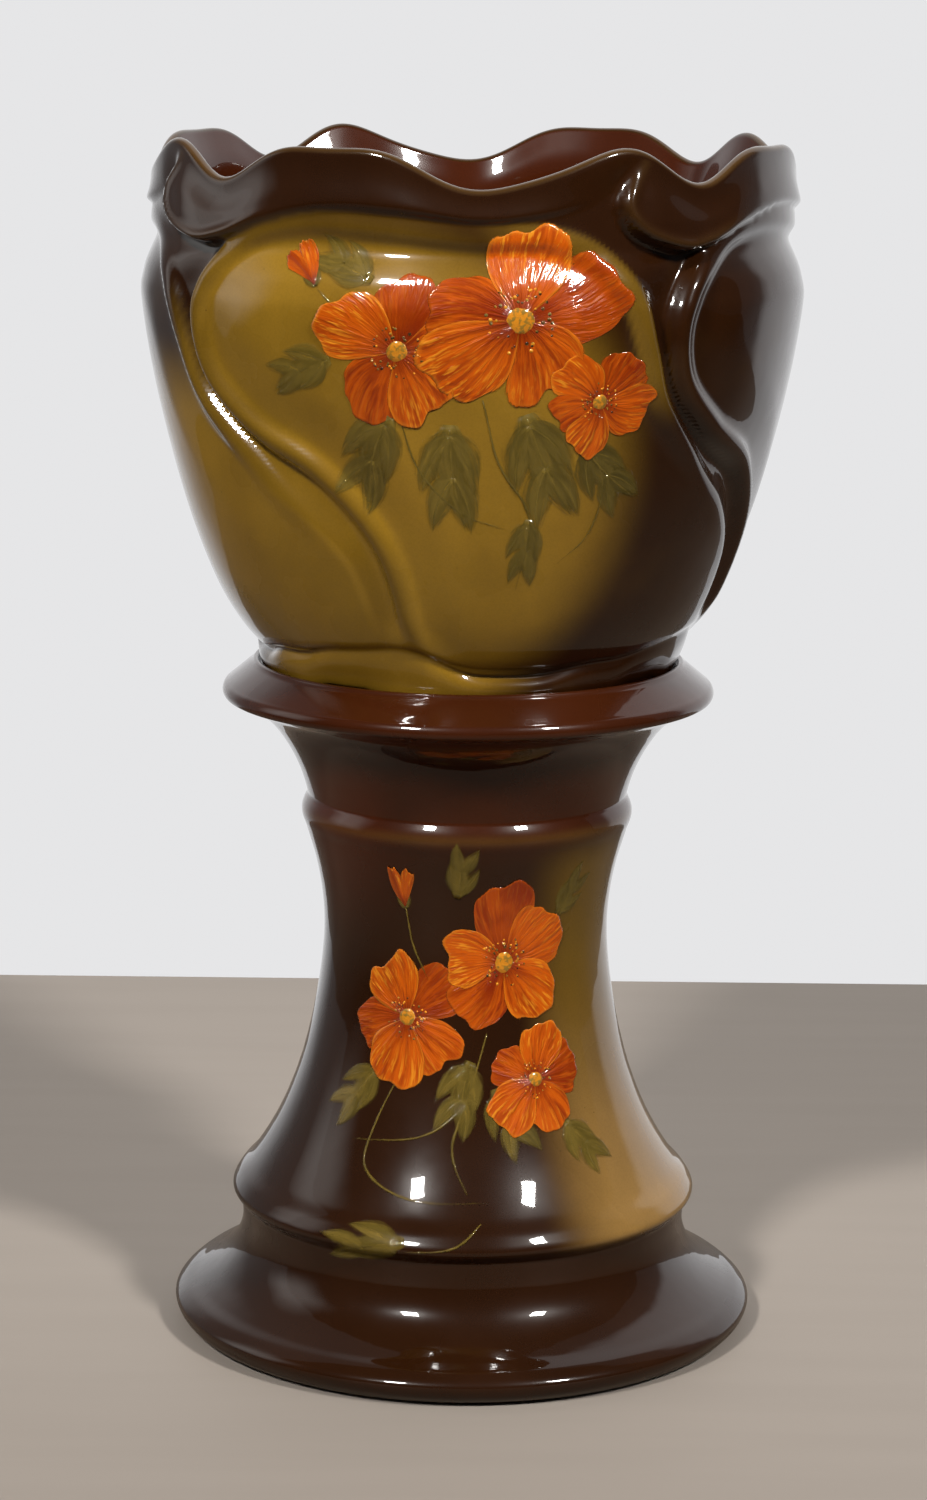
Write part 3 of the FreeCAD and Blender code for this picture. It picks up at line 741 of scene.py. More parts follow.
def pot_glaze(colours):
    shader = Shader("pot_glaze_brown_to_gold")
    flow = glaze_flow(shader)
    cloud = flow[1]
    light = lit_part(shader, cloud, 0.82, 1.12)
    light = shader.math("ADD", light, shader.fit(cloud, 0.5, 0.8, 0.0, 0.05), True)
    ground = shader.blend(light, colours.dark, colours.gold)
    stem = shader.blend(light, colours.dark, colours.olive)
    base = shader.blend(shader.math("MULTIPLY", shader.mask("stem"), 0.85), ground, stem)
    base = shader.blend(shader.mask("band"), base, colours.dark)
    base = shader.blend(shader.mask("inside"), base, colours.russet)
    # A paler straw line on the rim and the band's bead: thin glaze there, and a painted highlight.
    base = shader.blend(shader.math("MULTIPLY", shader.mask("thin"), 0.16), base, colours.straw)
    return finish_glaze(shader, base, flow)


def stand_glaze(colours):
    shader = Shader("pedestal_glaze_brown_to_straw")
    flow = glaze_flow(shader)
    base = shader.blend(shader.mask("russet"), colours.dark, colours.russet)
    base = shader.blend(lit_part(shader, flow[1], 0.85, 1.1), base, colours.straw)
    base = shader.blend(shader.mask("olive"), base, colours.olive)
    # A paler straw band round the neck ring: thin glaze there, and a painted highlight.
    base = shader.blend(shader.math("MULTIPLY", shader.mask("thin"), 0.35), base, colours.straw)
    return finish_glaze(shader, base, flow)


def brush_marks(shader, length_scale, width_scale):
    """Noise drawn out along each stroke, coarse and fine."""
    uv = shader.node("ShaderNodeUVMap", uv_map="stroke").outputs[0]
    drift = shader.noise(shader.place(), 60.0, 2.0)
    fields = []
    for fine, detail in ((1.0, 3.0), (2.6, 2.0)):
        where = shader.node("ShaderNodeMapping", {
            "Vector": uv, "Scale": (length_scale * fine, width_scale * fine, 1.0)}).outputs[0]
        drifted = shader.node("ShaderNodeVectorMath", {0: where, 1: drift}, operation="ADD")
        fields.append(shader.noise(drifted.outputs[0], 1.0, detail, 0.55))
    return fields


def ragged_cover(shader, marks, torn, start, end, most=1.0):
    """How solidly a stroke covers: it breaks up and fades at its edge."""
    edge = shader.math("ADD", shader.mask("edge"), shader.fit(marks, 0.3, 0.7, -torn, torn))
    return shader.fit(edge, start, end, most, 0.0)


def petal_slip(colours):
    shader = Shader("petal_slip_orange")
    coarse, fine = brush_marks(shader, 0.30, 1.7)
    run, tone, edge = (shader.mask(name) for name in ("run", "tone", "edge"))
    cloud = shader.noise(shader.place(), 30.0, 3.0)
    shade = shader.math("ADD", shader.math("MULTIPLY", tone, 0.85),
                        shader.fit(coarse, 0.36, 0.64, -0.30, 0.55), True)
    shade = shader.math("MULTIPLY", shade, shader.fit(cloud, 0.25, 0.65, 0.45, 1.0))
    base = shader.blend(shade, colours.orange, colours.ember)
    base = shader.blend(shader.fit(run, 0.42, 0.05, 0.0, 0.8), base, colours.ember)
    lit = shader.math("MULTIPLY", shader.fit(fine, 0.50, 0.68), shader.fit(run, 0.25, 0.9))
    lit = shader.math("MAXIMUM", lit, shader.fit(edge, 0.72, 0.95, 0.0, 0.45))
    lit = shader.math("MULTIPLY", lit, shader.fit(tone, 0.65, 0.0, 0.12, 0.85))
    base = shader.blend(lit, base, colours.yellow)
    bump = shader.bump(coarse, 0.0011, shader.bump(fine, 0.0005))
    coat = shader.bump(coarse, 0.0006, shader.bump(fine, 0.0002))
    cover = ragged_cover(shader, fine, 0.02, 0.92, 0.995)
    return shader.surface(base, SLIP_ROUGHNESS, bump, coat, cover=cover)


def leaf_slip(colours):
    shader = Shader("leaf_slip_olive")
    coarse, fine = brush_marks(shader, 0.35, 2.2)
    base = shader.blend(shader.mask("tone"), colours.leaf, colours.shade_leaf)
    base = shader.tinted(shader.fit(coarse, 0.42, 0.62, 0.0, 0.7), base, (0.55, 0.57, 0.5))
    base = shader.tinted(shader.fit(fine, 0.56, 0.70, 0.0, 0.5), base, (1.7, 1.6, 1.4))
    bump = shader.bump(coarse, 0.0005)
    coat = shader.bump(shader.noise(shader.place(), 26.0, 2.0), 0.0003)
    cover = ragged_cover(shader, fine, 0.20, 0.15, 1.0, 0.80)
    return shader.surface(base, SLIP_ROUGHNESS, bump, coat, cover=cover)


def centre_slip(colours):
    shader = Shader("flower_centre_slip")
    spots = shader.noise(shader.place(), 420.0, 2.0)
    base = shader.blend(shader.mask("tone"), colours.yellow, (0.03, 0.010, 0.003))
    base = shader.blend(shader.fit(spots, 0.45, 0.6, 0.0, 0.8), base, colours.leaf)
    return shader.surface(base, SLIP_ROUGHNESS, shader.bump(spots, 0.0005))


# ---- Painted slip, laid flat and then wrapped on its piece ---------------
SLIP_THICKNESS = 0.0007
# Least height of each sort of stroke over the glaze, and how much higher its middle is.
PETAL_HEIGHT = (0.00024, 0.0002)
BLADE_HEIGHT = (0.00022, 0.0002)
STALK_HEIGHT = (0.00024, 0.0003)
RUFFLE = 0.00012             # height of the waves near a petal's edge
OVERLAP = 0.00008            # how much higher each next petal of a blossom lies
CENTRE_HEIGHT = 0.0013
STAMEN_HEIGHT = 0.0011
STAMENS = 46
PETAL_TONES = (1.0, 0.65, 0.4, 0.0, 0.2)
PETAL_ORDER = (0, 2, 4, 1, 3)
# (waves across a petal, height of the wave as a share of its length)
PETAL_WAVES = ((2.5, 0.06), (6.0, 0.035), (13.0, 0.018))
MASKS = ("tone", "run", "edge")


def domed(height, v):
    least, more = height
    return least + more * (1.0 - v * v)


class SlipPainting:
    """Strokes on a flat sheet: x to the right, y up, z out of the surface."""

    def __init__(self):
        self.bm = bmesh.new()
        self.uv = self.bm.loops.layers.uv.new("stroke")
        self.masks = {name: self.bm.verts.layers.float.new(name) for name in MASKS}
        self.count = 0

    def stroke(self, shape, along, across, length, width, tone):
        """One stroke; shape gives its flat place for u 0..1 and v -1..1."""
        self.count += 1
        made = bmesh.ops.create_grid(self.bm, x_segments=along, y_segments=across, size=0.5)
        places = {vert: (vert.co.x + 0.5, vert.co.y * 2.0) for vert in made["verts"]}
        faces = {face for vert in made["verts"] for face in vert.link_faces}
        for face in faces:
            for loop in face.loops:
                u, v = places[loop.vert]
                loop[self.uv].uv = (u * length * 100 + self.count * 3.7, v * width * 50)
        for vert, (u, v) in places.items():
            vert.co = shape(u, v)
            vert[self.masks["tone"]] = tone
            vert[self.masks["run"]] = u
            vert[self.masks["edge"]] = 1.0 - (1.0 - v * v) * (1.0 - u**5)

    def petal(self, x, y, turn, size, fan, tone, lift, seed):
        """A broad petal that fans out from its flower's centre to a wavy edge."""
        draw = random.Random(seed)
        heading = math.radians(turn)
        swings = [(count, high, draw.uniform(0.0, math.tau)) for count, high in PETAL_WAVES]
        bend = draw.uniform(-0.22, 0.22)
        dent = draw.uniform(0.0, 0.10)

        def shape(u, v):
            wave = sum(high * math.sin(count * v + start) for count, high, start in swings)
            outline = 1.0 - 0.24 * abs(v)**2.4 - dent * math.exp(-9 * v * v) + wave * u
            reach = (0.05 + 0.95 * u) * outline
            aim = heading + math.radians(fan) * v * (1.0 - 0.24 * u**3) + bend * u * u
            ruffle = RUFFLE * u * u * math.sin(4.0 * v + swings[0][2])
            return (x + size * reach * math.cos(aim), y + size * reach * math.sin(aim),
                    domed(PETAL_HEIGHT, v) + ruffle + lift)

        self.stroke(shape, 26, 30, size, 2 * size * math.sin(math.radians(fan)), tone)

    def blade(self, x, y, turn, size, width, tone, bend):
        """A pointed brush stroke with its vein, the part that leaves are made of."""
        heading = math.radians(turn)

        def shape(u, v):
            aside = v * width * 0.5 * math.sin(math.pi * (0.06 + 0.94 * u)**0.75) ** 0.9
            aim = heading + bend * u
            return (x + size * u * math.cos(aim) - aside * math.sin(aim),
                    y + size * u * math.sin(aim) + aside * math.cos(aim),
                    domed(BLADE_HEIGHT, v))

        self.stroke(shape, 12, 8, size, width, tone)
        vein = [shape(u, 0.0)[:2] for u in (0.04, 0.35, 0.66, 0.94)]
        self.stalk(vein, width * 0.09, tone - 0.6)

    def leaf(self, x, y, turn, size, width, tone, bend):
        """A cut leaf: a middle blade and two pairs of shorter ones from its midrib."""
        for start in (0.10, 0.48):
            aim = math.radians(turn) + bend * start
            for side in (1.0, -1.0):
                self.blade(x + size * start * math.cos(aim), y + size * start * math.sin(aim),
                           turn + side * mix(46, 34, start), size * mix(0.62, 0.46, start),
                           width * 0.62, tone + 0.12 * side, -0.35 * side)
        self.blade(x, y, turn, size, width * 0.8, tone, bend)

    def stalk(self, knots, width, tone):
        """A thin tapered line through the knots."""
        line = curve_through(knots, 8)
        run = np.linspace(0.0, 1.0, len(line))
        slope = np.gradient(line, axis=0)
        slope /= np.hypot(slope[:, 0], slope[:, 1])[:, None]

        def shape(u, v):
            px, py = (np.interp(u, run, line[:, i]) for i in (0, 1))
            dx, dy = (np.interp(u, run, slope[:, i]) for i in (0, 1))
            half = width * 0.5 * (0.35 + 0.65 * math.sin(math.pi * (0.12 + 0.76 * u)))
            return (px - dy * v * half, py + dx * v * half, domed(STALK_HEIGHT, v))

        self.stroke(shape, len(line) - 1, 2, 0.1, width, tone)

    def dot(self, x, y, size, tone, tall):
        made = bmesh.ops.create_icosphere(self.bm, subdivisions=2, radius=1.0)
        for vert in made["verts"]:
            vert[self.masks["tone"]] = tone
            vert.co = (x + vert.co.x * size, y + vert.co.y * size, vert.co.z * tall)

    def mesh(self, name):
        """The strokes as thin closed shells; dots are closed as they are."""
        sheets = [face for face in self.bm.faces if len(face.verts) == 4]
        if sheets:
            bmesh.ops.recalc_face_normals(self.bm, faces=sheets)
            for face in sheets:
                if face.normal.z < 0:
                    face.normal_flip()
            bmesh.ops.solidify(self.bm, geom=sheets, thickness=SLIP_THICKNESS)
        bmesh.ops.remove_doubles(self.bm, verts=self.bm.verts, dist=1e-6)
        mesh = bpy.data.meshes.new(name)
        self.bm.to_mesh(mesh)
        self.bm.free()
        return mesh


def wrap(mesh, middle_z, unroll_radius, outside):
    """Lays a flat sheet on the surface whose radius is outside(degrees, z)."""
    flat = mesh_arrays(mesh)
    degrees = np.degrees(flat[:, 0] / unroll_radius)
    z = middle_z + flat[:, 1]
    set_places(mesh, on_axis(outside(degrees, z) + flat[:, 2], degrees, z))
    clean(mesh)


def blossom(petals, centres, x, y, size, turn, seed):
    """Five broad petals round a centre with a ring of stamens."""
    draw = random.Random(seed)
    for order, step in enumerate(PETAL_ORDER):
        petals.petal(x, y, turn + step * 72 + draw.uniform(-9, 9), size * draw.uniform(0.88, 1.08),
                     draw.uniform(43, 52), PETAL_TONES[order], order * OVERLAP, seed * 10 + step)
    centres.dot(x, y, size * 0.15, 0.25, CENTRE_HEIGHT)
    for _ in range(STAMENS):
        angle = draw.uniform(0.0, math.tau)
        reach = size * draw.uniform(0.17, 0.34)
        centres.dot(x + reach * math.cos(angle), y + reach * math.sin(angle),
                    size * draw.uniform(0.012, 0.024), draw.choice((0.0, 0.1, 0.9, 1.0)),
                    STAMEN_HEIGHT)


def bud(petals, leaves, x, y, size, turn):
    """A half open bud: three narrow petals in two sepals."""
    for step, tone in ((14, 0.6), (-14, 0.3), (0, 0.05)):
        petals.petal(x, y, turn + step, size, 17, tone, 0.0001, int(turn) + step)
    for side in (1.0, -1.0):
        leaves.blade(x, y, turn + side * 30, size * 0.6, size * 0.26, 0.4, -side * 0.5)


# Blossoms (x, y, size, turn, seed), a bud (x, y, size, turn), leaves (x, y, turn, size,
# width, tone) that all bend alike, and stalks (knots, width) of one tone.
POT_SPRAY = {
    "blossoms": ((-0.040, 0.006, 0.044, 80, 3), (0.025, 0.024, 0.056, 12, 8),
                 (0.072, -0.022, 0.033, 50, 12)),
    "bud": (-0.086, 0.040, 0.028, 120),
    "leaves": (
        (-0.046, -0.030, 240, 0.060, 0.030, 0.35), (-0.012, -0.034, 268, 0.064, 0.032, 0.2),
        (0.030, -0.028, 288, 0.070, 0.034, 0.45), (0.064, -0.046, 310, 0.052, 0.026, 0.8),
        (-0.078, 0.000, 196, 0.044, 0.022, 0.1), (-0.054, 0.044, 150, 0.040, 0.020, 0.0),
        (0.036, -0.088, 262, 0.040, 0.020, 0.4),
    ),
    "bend": 0.2,
    "stalks": (
        (((0.006, -0.020), (0.016, -0.056), (0.036, -0.088), (0.030, -0.132)), 0.0022),
        (((0.072, -0.050), (0.080, -0.072), (0.074, -0.098), (0.054, -0.116)), 0.0018),
        (((-0.040, -0.030), (-0.030, -0.060), (-0.006, -0.084), (0.022, -0.094)), 0.0020),
        (((-0.052, 0.020), (-0.070, 0.026), (-0.086, 0.040)), 0.0018),
    ),
    "stalk_tone": 0.4,
    "middle_z": 0.608,
}
STAND_SPRAY = {
    "blossoms": ((0.026, 0.034, 0.048, 100, 21), (-0.038, 0.000, 0.040, 40, 24),
                 (0.044, -0.036, 0.033, 10, 27)),
    "bud": (-0.040, 0.066, 0.026, 100),
    "leaves": (
        (0.004, -0.024, 250, 0.046, 0.022, 0.3), (0.018, -0.040, 290, 0.044, 0.020, 0.5),
        (-0.054, -0.032, 225, 0.044, 0.020, 0.2), (-0.006, 0.074, 75, 0.036, 0.016, 0.3),
        (-0.024, -0.122, 190, 0.040, 0.018, 0.2), (0.060, -0.062, 300, 0.036, 0.018, 0.3),
        (0.064, 0.060, 50, 0.036, 0.016, 0.5),
    ),
    "bend": 0.25,
    "stalks": (
        (((0.014, -0.008), (0.004, -0.040), (-0.006, -0.074), (0.002, -0.098)), 0.0024),
        (((-0.040, -0.034), (-0.050, -0.060), (-0.052, -0.086), (-0.030, -0.100),
          (0.012, -0.102)), 0.0020),
        (((0.004, -0.046), (-0.020, -0.066), (-0.064, -0.074)), 0.0018),
        (((-0.040, 0.066), (-0.036, 0.044), (-0.024, 0.022)), 0.0020),
        (((0.008, -0.112), (-0.004, -0.124), (-0.028, -0.128)), 0.0017),
    ),
    "stalk_tone": 0.1,
    "middle_z": 0.210,
}
STAND_UNROLL = 0.098         # radius at which the pedestal's spray is laid flat


def paint_spray(colours, body, spray, unroll_radius, outside):
    """Paints a spray on a body, as leaves, petals and flower centres."""
    petals, leaves, centres = SlipPainting(), SlipPainting(), SlipPainting()
    for flower in spray["blossoms"]:
        blossom(petals, centres, *flower)
    bud(petals, leaves, *spray["bud"])
    for leaf in spray["leaves"]:
        leaves.leaf(*leaf, spray["bend"])
    for knots, width in spray["stalks"]:
        leaves.stalk(knots, width, spray["stalk_tone"])
    for painting, part, slip in (
        (leaves, "leaves", leaf_slip), (petals, "petals", petal_slip),
        (centres, "flower_centres", centre_slip),
    ):
        name = f"{body}_{part}"
        mesh = painting.mesh(name)
        wrap(mesh, spray["middle_z"], unroll_radius, outside)
        add_piece(name, mesh, slip(colours), body)


# ---- Operators -----------------------------------------------------------
class JARDINIERE_OT_stage(bpy.types.Operator):
    """Make the floor, the wall, the lamps and the camera"""

    bl_idname = "jardiniere.stage"
    bl_label = "Stage"

    BOARD_SIZE = 14.0        # side of the floor and of the wall
    WALL_MIDDLE = 3.0        # floor to the wall's middle
    FLOOR_DIM = (0.47, 0.41, 0.35)   # tint of the floor to all rays but the camera's
    KEYS = (("lamp_left", -29), ("lamp_right", 43))      # azimuths
    KEY_SIZE = (0.60, 0.60)
    KEY_PLACE = (37, 5.2)    # elevation and distance
    SIDE_SIZE = (1.7, 2.1)
    SIDE_PLACE = (-92, 16, 2.2)      # azimuth, elevation and distance
    LAMP_COLOUR = (1.0, 0.97, 0.93)
    LAMP_AIM = (0.0, 0.0, 0.45)

    def execute(self, context):
        stage = context.scene.jardiniere_stage
        context.scene.view_settings.view_transform = "Standard"
        standing = Matrix.Translation((0, stage.wall_distance, self.WALL_MIDDLE))
        standing = standing @ Matrix.Rotation(math.pi / 2, 4, "X")
        self.board(context, "floor_stage", self.floor_material(stage.floor), Matrix.Identity(4))
        self.board(context, "wall_stage", self.wall_material(stage.wall), standing)
        for name, azimuth in self.KEYS:
            self.lamp(context, name, stage.key, self.KEY_SIZE, azimuth, *self.KEY_PLACE,
                      stage.spread)
        side = self.lamp(context, "lamp_side", stage.side, self.SIDE_SIZE, *self.SIDE_PLACE, 180.0)
        self.soften(side)
        self.room(context, stage)
        self.camera(context, stage)
        return {"FINISHED"}

    def board(self, context, name, material, place):
        bm = bmesh.new()
        bmesh.ops.create_grid(bm, x_segments=1, y_segments=1, size=self.BOARD_SIZE / 2)
        bm.transform(place)
        mesh = bpy.data.meshes.new(name)
        bm.to_mesh(mesh)
        bm.free()
        mesh.materials.append(material)
        board = bpy.data.objects.new(name, mesh)
        context.scene.collection.objects.link(board)

    def floor_material(self, tint):
        """A faintly flecked floor, dimmer to all other rays than to the camera's."""
        shader = Shader("floor_stage")
        fleck = shader.fit(shader.noise(shader.place((1, 9, 1)), 3.0, 5.0), 0.3, 0.7, 0.0, 0.08)
        base = shader.tinted(fleck, tint, GREY)
        dim = shader.blend(1.0, base, self.FLOOR_DIM, "MULTIPLY")
        seen = shader.node("ShaderNodeLightPath").outputs["Is Camera Ray"]
        return shader.surface(shader.blend(seen, dim, base), 0.55, coat=0.0)

    def wall_material(self, tint):
        """A lit wall, clear from behind; its ends fade to all rays but the camera's."""
        shader = Shader("wall_stage")
        x = shader.node("ShaderNodeSeparateXYZ", {0: shader.place()}).outputs[0]
        ends = shader.math("MULTIPLY", shader.fit(x, 1.5, 2.1, 1.0, 0.15),
                           shader.fit(x, -0.35, -1.15, 1.0, 0.22))
        seen = shader.node("ShaderNodeLightPath").outputs["Is Camera Ray"]
        ends = shader.fit(seen, 0.0, 1.0, ends, 1.0)
        glow = shader.node("ShaderNodeEmission", {"Color": tint, "Strength": ends}).outputs[0]
        clear = shader.node("ShaderNodeBsdfTransparent").outputs[0]
        back = shader.node("ShaderNodeNewGeometry").outputs["Backfacing"]
        both = shader.node("ShaderNodeMixShader", {0: back, 1: glow, 2: clear}).outputs[0]
        shader.node("ShaderNodeOutputMaterial", {"Surface": both})
        return shader.material

    def lamp(self, context, name, power, size, azimuth, elevation, distance, spread):
        """A rectangular lamp that looks at the middle of the pair."""
        data = bpy.data.lights.new(name, "AREA")
        data.shape = "RECTANGLE"
        data.size, data.size_y = size
        data.energy = power
        data.color = self.LAMP_COLOUR
        lamp = bpy.data.objects.new(name, data)
        turn, rise = math.radians(azimuth), math.radians(elevation)
        back = Vector((math.sin(turn) * math.cos(rise), -math.cos(turn) * math.cos(rise),
                       math.sin(rise)))
        lamp.location = Vector(self.LAMP_AIM) + back * distance
        data.spread = math.radians(spread)
        lamp.rotation_euler = back.to_track_quat("Z", "Y").to_euler()
        context.scene.collection.objects.link(lamp)
        return data

    def soften(self, lamp):
        """Lets a lamp fade out towards its edges."""
        lamp.use_nodes = True
        shader = Shader(lamp.name, lamp.node_tree)
        place = shader.node("ShaderNodeNewGeometry").outputs["Parametric"]
        across = shader.node("ShaderNodeSeparateXYZ", {0: place}).outputs
        fades = [shader.fit(shader.math("ABSOLUTE", shader.math("SUBTRACT", part, 0.5)), 0.5, 0.08)
                 for part in (across[0], across[1])]
        glow = shader.node("ShaderNodeEmission", {"Strength": shader.math("MULTIPLY", *fades)})
        shader.node("ShaderNodeOutputLight", {"Surface": glow.outputs[0]})

    def room(self, context, stage):
        """A room that is pale to the camera, dim to other rays and dimmest in the glaze."""
        world = bpy.data.worlds.new("room")
        world.use_nodes = True
        shader = Shader("room", world.node_tree)
        rays = shader.node("ShaderNodeLightPath").outputs
        level = shader.fit(rays["Is Glossy Ray"], 0.0, 1.0, stage.fill, stage.sheen)
        glow = shader.node("ShaderNodeBackground", {
            "Color": shader.blend(rays["Is Camera Ray"], (1.0, 1.0, 1.0), stage.wall),
            "Strength": shader.fit(rays["Is Camera Ray"], 0.0, 1.0, level, 1.0)})
        shader.node("ShaderNodeOutputWorld", {"Surface": glow.outputs[0]})
        context.scene.world = world

    def camera(self, context, stage):
        data = bpy.data.cameras.new("camera")
        data.lens = stage.lens
        data.sensor_width = 36.0
        data.clip_end = 100.0
        camera = bpy.data.objects.new("camera", data)
        camera.matrix_world = (
            Matrix.Translation((stage.camera_aside, -stage.camera_distance, stage.camera_height))
            @ Matrix.Rotation(math.radians(90.0 - stage.camera_pitch), 4, "X")
            @ Matrix.Rotation(math.radians(stage.camera_roll), 4, "Z")
        )
        context.scene.collection.objects.link(camera)
        context.scene.camera = camera


class JARDINIERE_OT_pot(bpy.types.Operator):
    """Make the jardiniere with its scroll panels, collar band and waved rim"""

    bl_idname = "jardiniere.pot"
    bl_label = "Jardiniere"

    ZONES = (("recess", 2), ("stand", 7), ("foot", 12), ("body", 84), ("collar", 44),
             ("rim", 8), ("inside", 30), ("floor", 3))
    STEPS = 516
    CROWD = 5.5              # degrees by which the columns crowd on the creases
    CREASE = 52.0            # degrees from a panel's start to the crease
    # The gold ground, in degrees from the front and shares of the pot's height: ovals as
    # patch() takes them, and spans.
    FRONT = ((-30.0, 0.40), (60.0, 0.50), 0.78, 0.34)
    REAR = ((180.0, 0.40), (60.0, 0.40), 0.40, 0.60)
    REAR_LIGHT = 0.45
    STEM_LIGHT = 0.75
    STEM_RISES = (0.50, 0.12)
    STEM_SPAN = (-5.0, 20.0)
    STEM_END = (30.5, 34.0, 0.70)    # where its light ends: angle, lean, height of that angle
    PANEL_RISES = (-62.0, 6.0)
    PANEL_FALLS = (46.0, 6.0)
    LOWER_FALLS = (0.50, 0.16)

    def execute(self, context):
        scene = context.scene
        surface = PotSurface(scene.jardiniere_pot, scene.jardiniere_relief)
        rings = [(zone, step / count) for zone, count in self.ZONES for step in range(count)]
        rings.append(("floor", 1.0))
        mesh, index, column = turned_sheet(len(rings), self.STEPS)
        angle = column * 360.0 / self.STEPS - 180.0
        angle = angle + self.CROWD * np.sin(np.radians(4.0 * (angle - self.CREASE)))
        zones = np.array([zone for zone, _ in rings])[index]
        along = np.array([t for _, t in rings])[index]
        places = np.zeros((len(index), 3))
        masks = np.zeros((5, len(index)))
        for zone, _ in self.ZONES:
            chosen = zones == zone
            radius, z, painted = surface.ring(zone, along[chosen], angle[chosen])
            places[chosen] = on_axis(radius, angle[chosen] + PANEL_TURN, z)
            for row, values in zip(masks, painted):
                row[chosen] = values
        counts = [count for _, count in self.ZONES]
        body_start, collar_end = sum(counts[:3]), sum(counts[:5])
        places = eased(places, index, column, body_start + 2, collar_end - 2)
        set_places(mesh, places)
        within, stem, band, bead, inside = masks
        # The thin mask is the paler line of thin glaze and painted highlight on the rim and the
        # bead.
        for name, values in (("stem", stem), ("band", band), ("thin", bead), ("inside", inside)):
            set_mask(mesh, name, values)
        set_mask(mesh, "light", self.light(places, within, stem, surface))
        clean(mesh)
        piece = add_piece("jardiniere_body", mesh, pot_glaze(scene.jardiniere_colours),
                          "jardiniere")
        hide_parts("jardiniere")
        return {"FINISHED"}

    def light(self, places, within, stem, surface):
        """Where the airbrushed ground is gold: front and left, and faintly at the rear."""
        degrees, up = around(places), surface.up(places[:, 2])
        angle, lean, height = self.STEM_END
        beyond = rise(degrees - angle - lean * (height - up), 0.0, 3.0)
        edge = smooth(1.8 * stem) * rise(up, *self.STEM_RISES) * (1.0 - beyond)
        front = np.maximum(patch(degrees, up, *self.FRONT),
                           self.STEM_LIGHT * edge * rise(degrees, *self.STEM_SPAN))
        shown = rise(degrees, *self.PANEL_RISES) * fall(degrees, *self.PANEL_FALLS) * within
        rear = self.REAR_LIGHT * patch(np.abs(degrees), up, *self.REAR)
        return np.maximum(front * np.maximum(shown, fall(up, *self.LOWER_FALLS)), rear)


class JARDINIERE_OT_stand(bpy.types.Operator):
    """Make the hollow pedestal with its base, bell, neck ring and flanged seat"""

    bl_idname = "jardiniere.stand"
    bl_label = "Pedestal"

    STEPS = 288
    # Spans in degrees from the front, and then in metres from the floor.
    SIDE_RISES, SIDE_FALLS = (20.0, 28.0), (88.0, 40.0)
    BELL_RISES = (0.074, 0.010)
    STRAW_FALLS = (0.13, 0.15)
    OLIVE_RISES, OLIVE_FALLS = (0.12, 0.13), (0.295, 0.03)
    THROAT_RISES = (0.30, 0.03)
    LEFT = ((-60.0, 0.34), (60.0, 0.10), 0.3, 0.7)   # russet oval, as patch() takes it
    RING_THIN_GLAZE_AND_HIGHLIGHT = 0.003       # metres over and under the neck ring's middle that are painted paler: thin glaze and a painted highlight

    def execute(self, context):
        scene = context.scene
        shown, seat_floor, roof, hollow = stand_profile(scene.jardiniere_stand)
        chain = [tuple(point) for point in [*shown, *seat_floor, *roof, *hollow]]
        chain.append(chain[0])
        mesh, index, column = turned_sheet(len(chain), self.STEPS)
        chain = np.array(chain)[index]
        set_places(mesh, on_axis(chain[:, 0], column * 360.0 / self.STEPS, chain[:, 1]))
        clean(mesh, 1e-5)
        places = mesh_arrays(mesh)
        degrees, z = around(places), places[:, 2]
        right = rise(degrees, *self.SIDE_RISES) * fall(degrees, *self.SIDE_FALLS)
        right = right * rise(z, *self.BELL_RISES)
        left = patch(degrees, z, *self.LEFT)
        from_ring = (z - scene.jardiniere_stand.ring_height) / self.RING_THIN_GLAZE_AND_HIGHLIGHT
        for name, values in (
            ("light", 0.85 * right * fall(z, *self.STRAW_FALLS)),
            ("olive", 0.8 * right * rise(z, *self.OLIVE_RISES) * fall(z, *self.OLIVE_FALLS)),
            ("russet", np.maximum(0.6 * rise(z, *self.THROAT_RISES), left)),
            # The thin mask is the paler band of thin glaze and painted highlight round the neck
            # ring.
            ("thin", 0.3 * np.exp(-from_ring**2)),
        ):
            set_mask(mesh, name, values)
        piece = add_piece("pedestal_body", mesh, stand_glaze(scene.jardiniere_colours),
                          "pedestal")
        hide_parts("pedestal")
        return {"FINISHED"}


class JARDINIERE_OT_pot_flowers(bpy.types.Operator):
    """Paint the spray of blossoms and leaves on the jardiniere's front panel"""

    bl_idname = "jardiniere.pot_flowers"
    bl_label = "Jardiniere flowers"

    def execute(self, context):
        scene = context.scene
        surface = PotSurface(scene.jardiniere_pot, scene.jardiniere_relief)
        paint_spray(scene.jardiniere_colours, "jardiniere", POT_SPRAY,
                    surface.s.collar,
                    lambda degrees, z: surface.outside(degrees - PANEL_TURN, z))
        return {"FINISHED"}


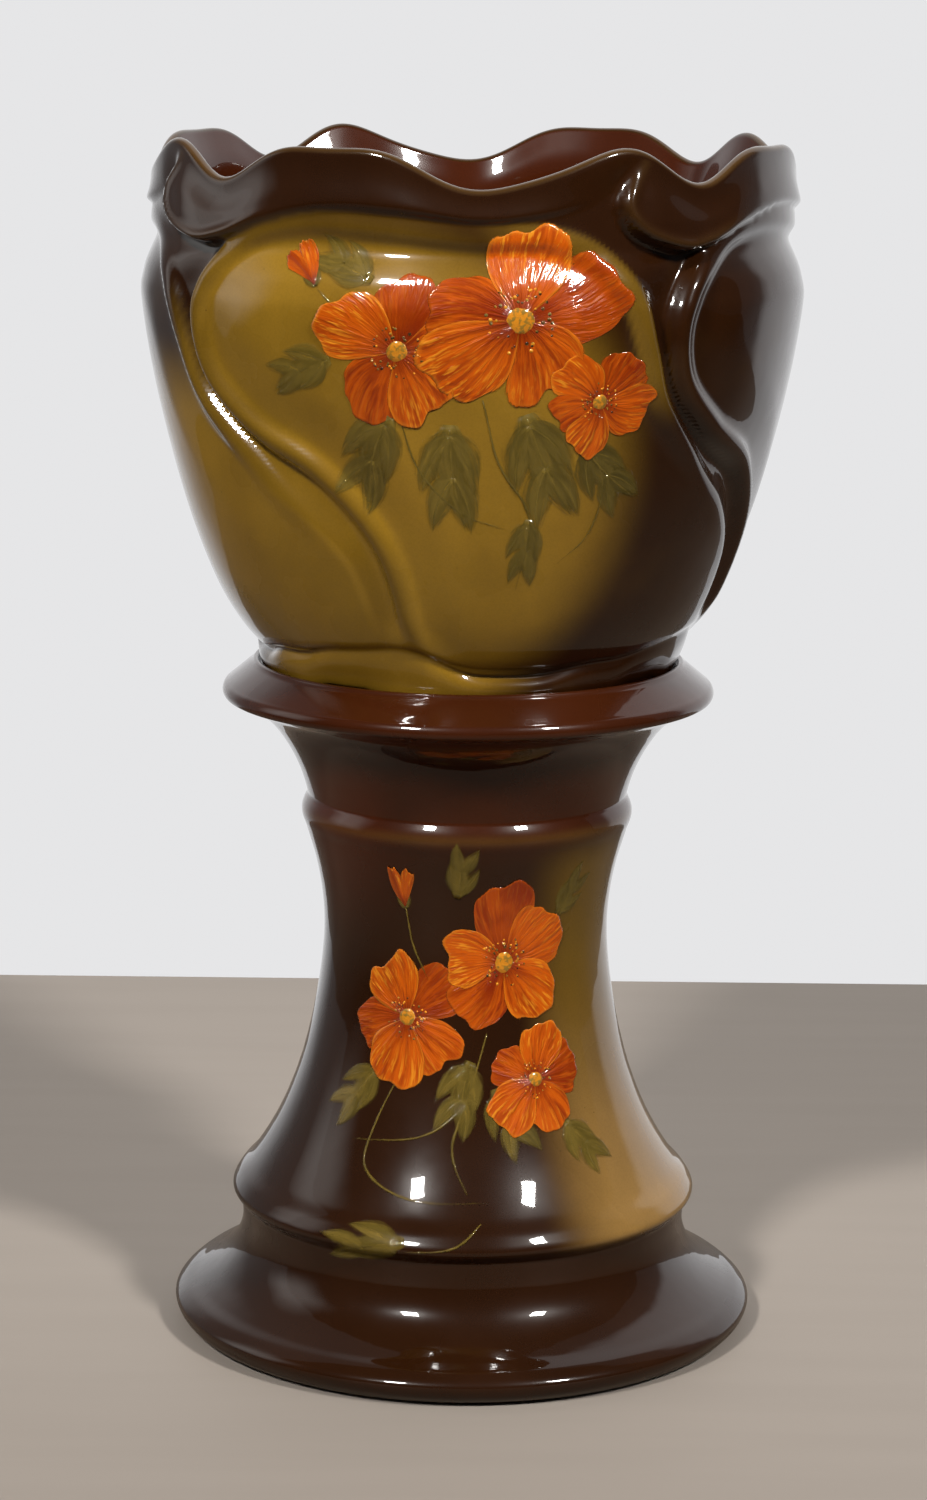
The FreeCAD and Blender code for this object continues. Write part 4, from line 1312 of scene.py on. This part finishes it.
class JARDINIERE_OT_stand_flowers(bpy.types.Operator):
    """Paint the spray of blossoms, leaves and tendrils on the pedestal"""

    bl_idname = "jardiniere.stand_flowers"
    bl_label = "Pedestal flowers"

    def execute(self, context):
        scene = context.scene
        shown = np.array(stand_profile(scene.jardiniere_stand)[0])
        paint_spray(scene.jardiniere_colours, "pedestal", STAND_SPRAY,
                    STAND_UNROLL, lambda degrees, z: np.interp(z, shown[:, 1], shown[:, 0]))
        return {"FINISHED"}


class JARDINIERE_PT_pieces(bpy.types.Panel):
    """Lists the pieces and their sizes"""

    bl_label = "Jardiniere on Pedestal"
    bl_space_type = "VIEW_3D"
    bl_region_type = "UI"
    bl_category = "Jardiniere"

    def draw(self, context):
        for operator in OPERATORS:
            self.layout.operator(operator.bl_idname)
        for name, group in GROUPS.items():
            box = self.layout.box()
            for prop in group.__annotations__:
                box.prop(getattr(context.scene, name), prop)


GROUPS = {
    "jardiniere_pot": PotSizes,
    "jardiniere_relief": ReliefSizes,
    "jardiniere_stand": StandSizes,
    "jardiniere_colours": GlazeColours,
    "jardiniere_stage": StageSettings,
}
OPERATORS = (
    JARDINIERE_OT_stage,
    JARDINIERE_OT_pot,
    JARDINIERE_OT_stand,
    JARDINIERE_OT_pot_flowers,
    JARDINIERE_OT_stand_flowers,
)


def register():
    for name, group in GROUPS.items():
        bpy.utils.register_class(group)
        setattr(bpy.types.Scene, name, PointerProperty(type=group))
    for operator in OPERATORS:
        bpy.utils.register_class(operator)
    bpy.utils.register_class(JARDINIERE_PT_pieces)


def unregister():
    bpy.utils.unregister_class(JARDINIERE_PT_pieces)
    for operator in reversed(OPERATORS):
        bpy.utils.unregister_class(operator)
    for name, group in GROUPS.items():
        delattr(bpy.types.Scene, name)
        bpy.utils.unregister_class(group)


def main():
    register()
    bpy.ops.jardiniere.stage()
    bpy.ops.jardiniere.pot()
    bpy.ops.jardiniere.stand()
    bpy.ops.jardiniere.pot_flowers()
    bpy.ops.jardiniere.stand_flowers()


if __name__ == "__main__":
    main()
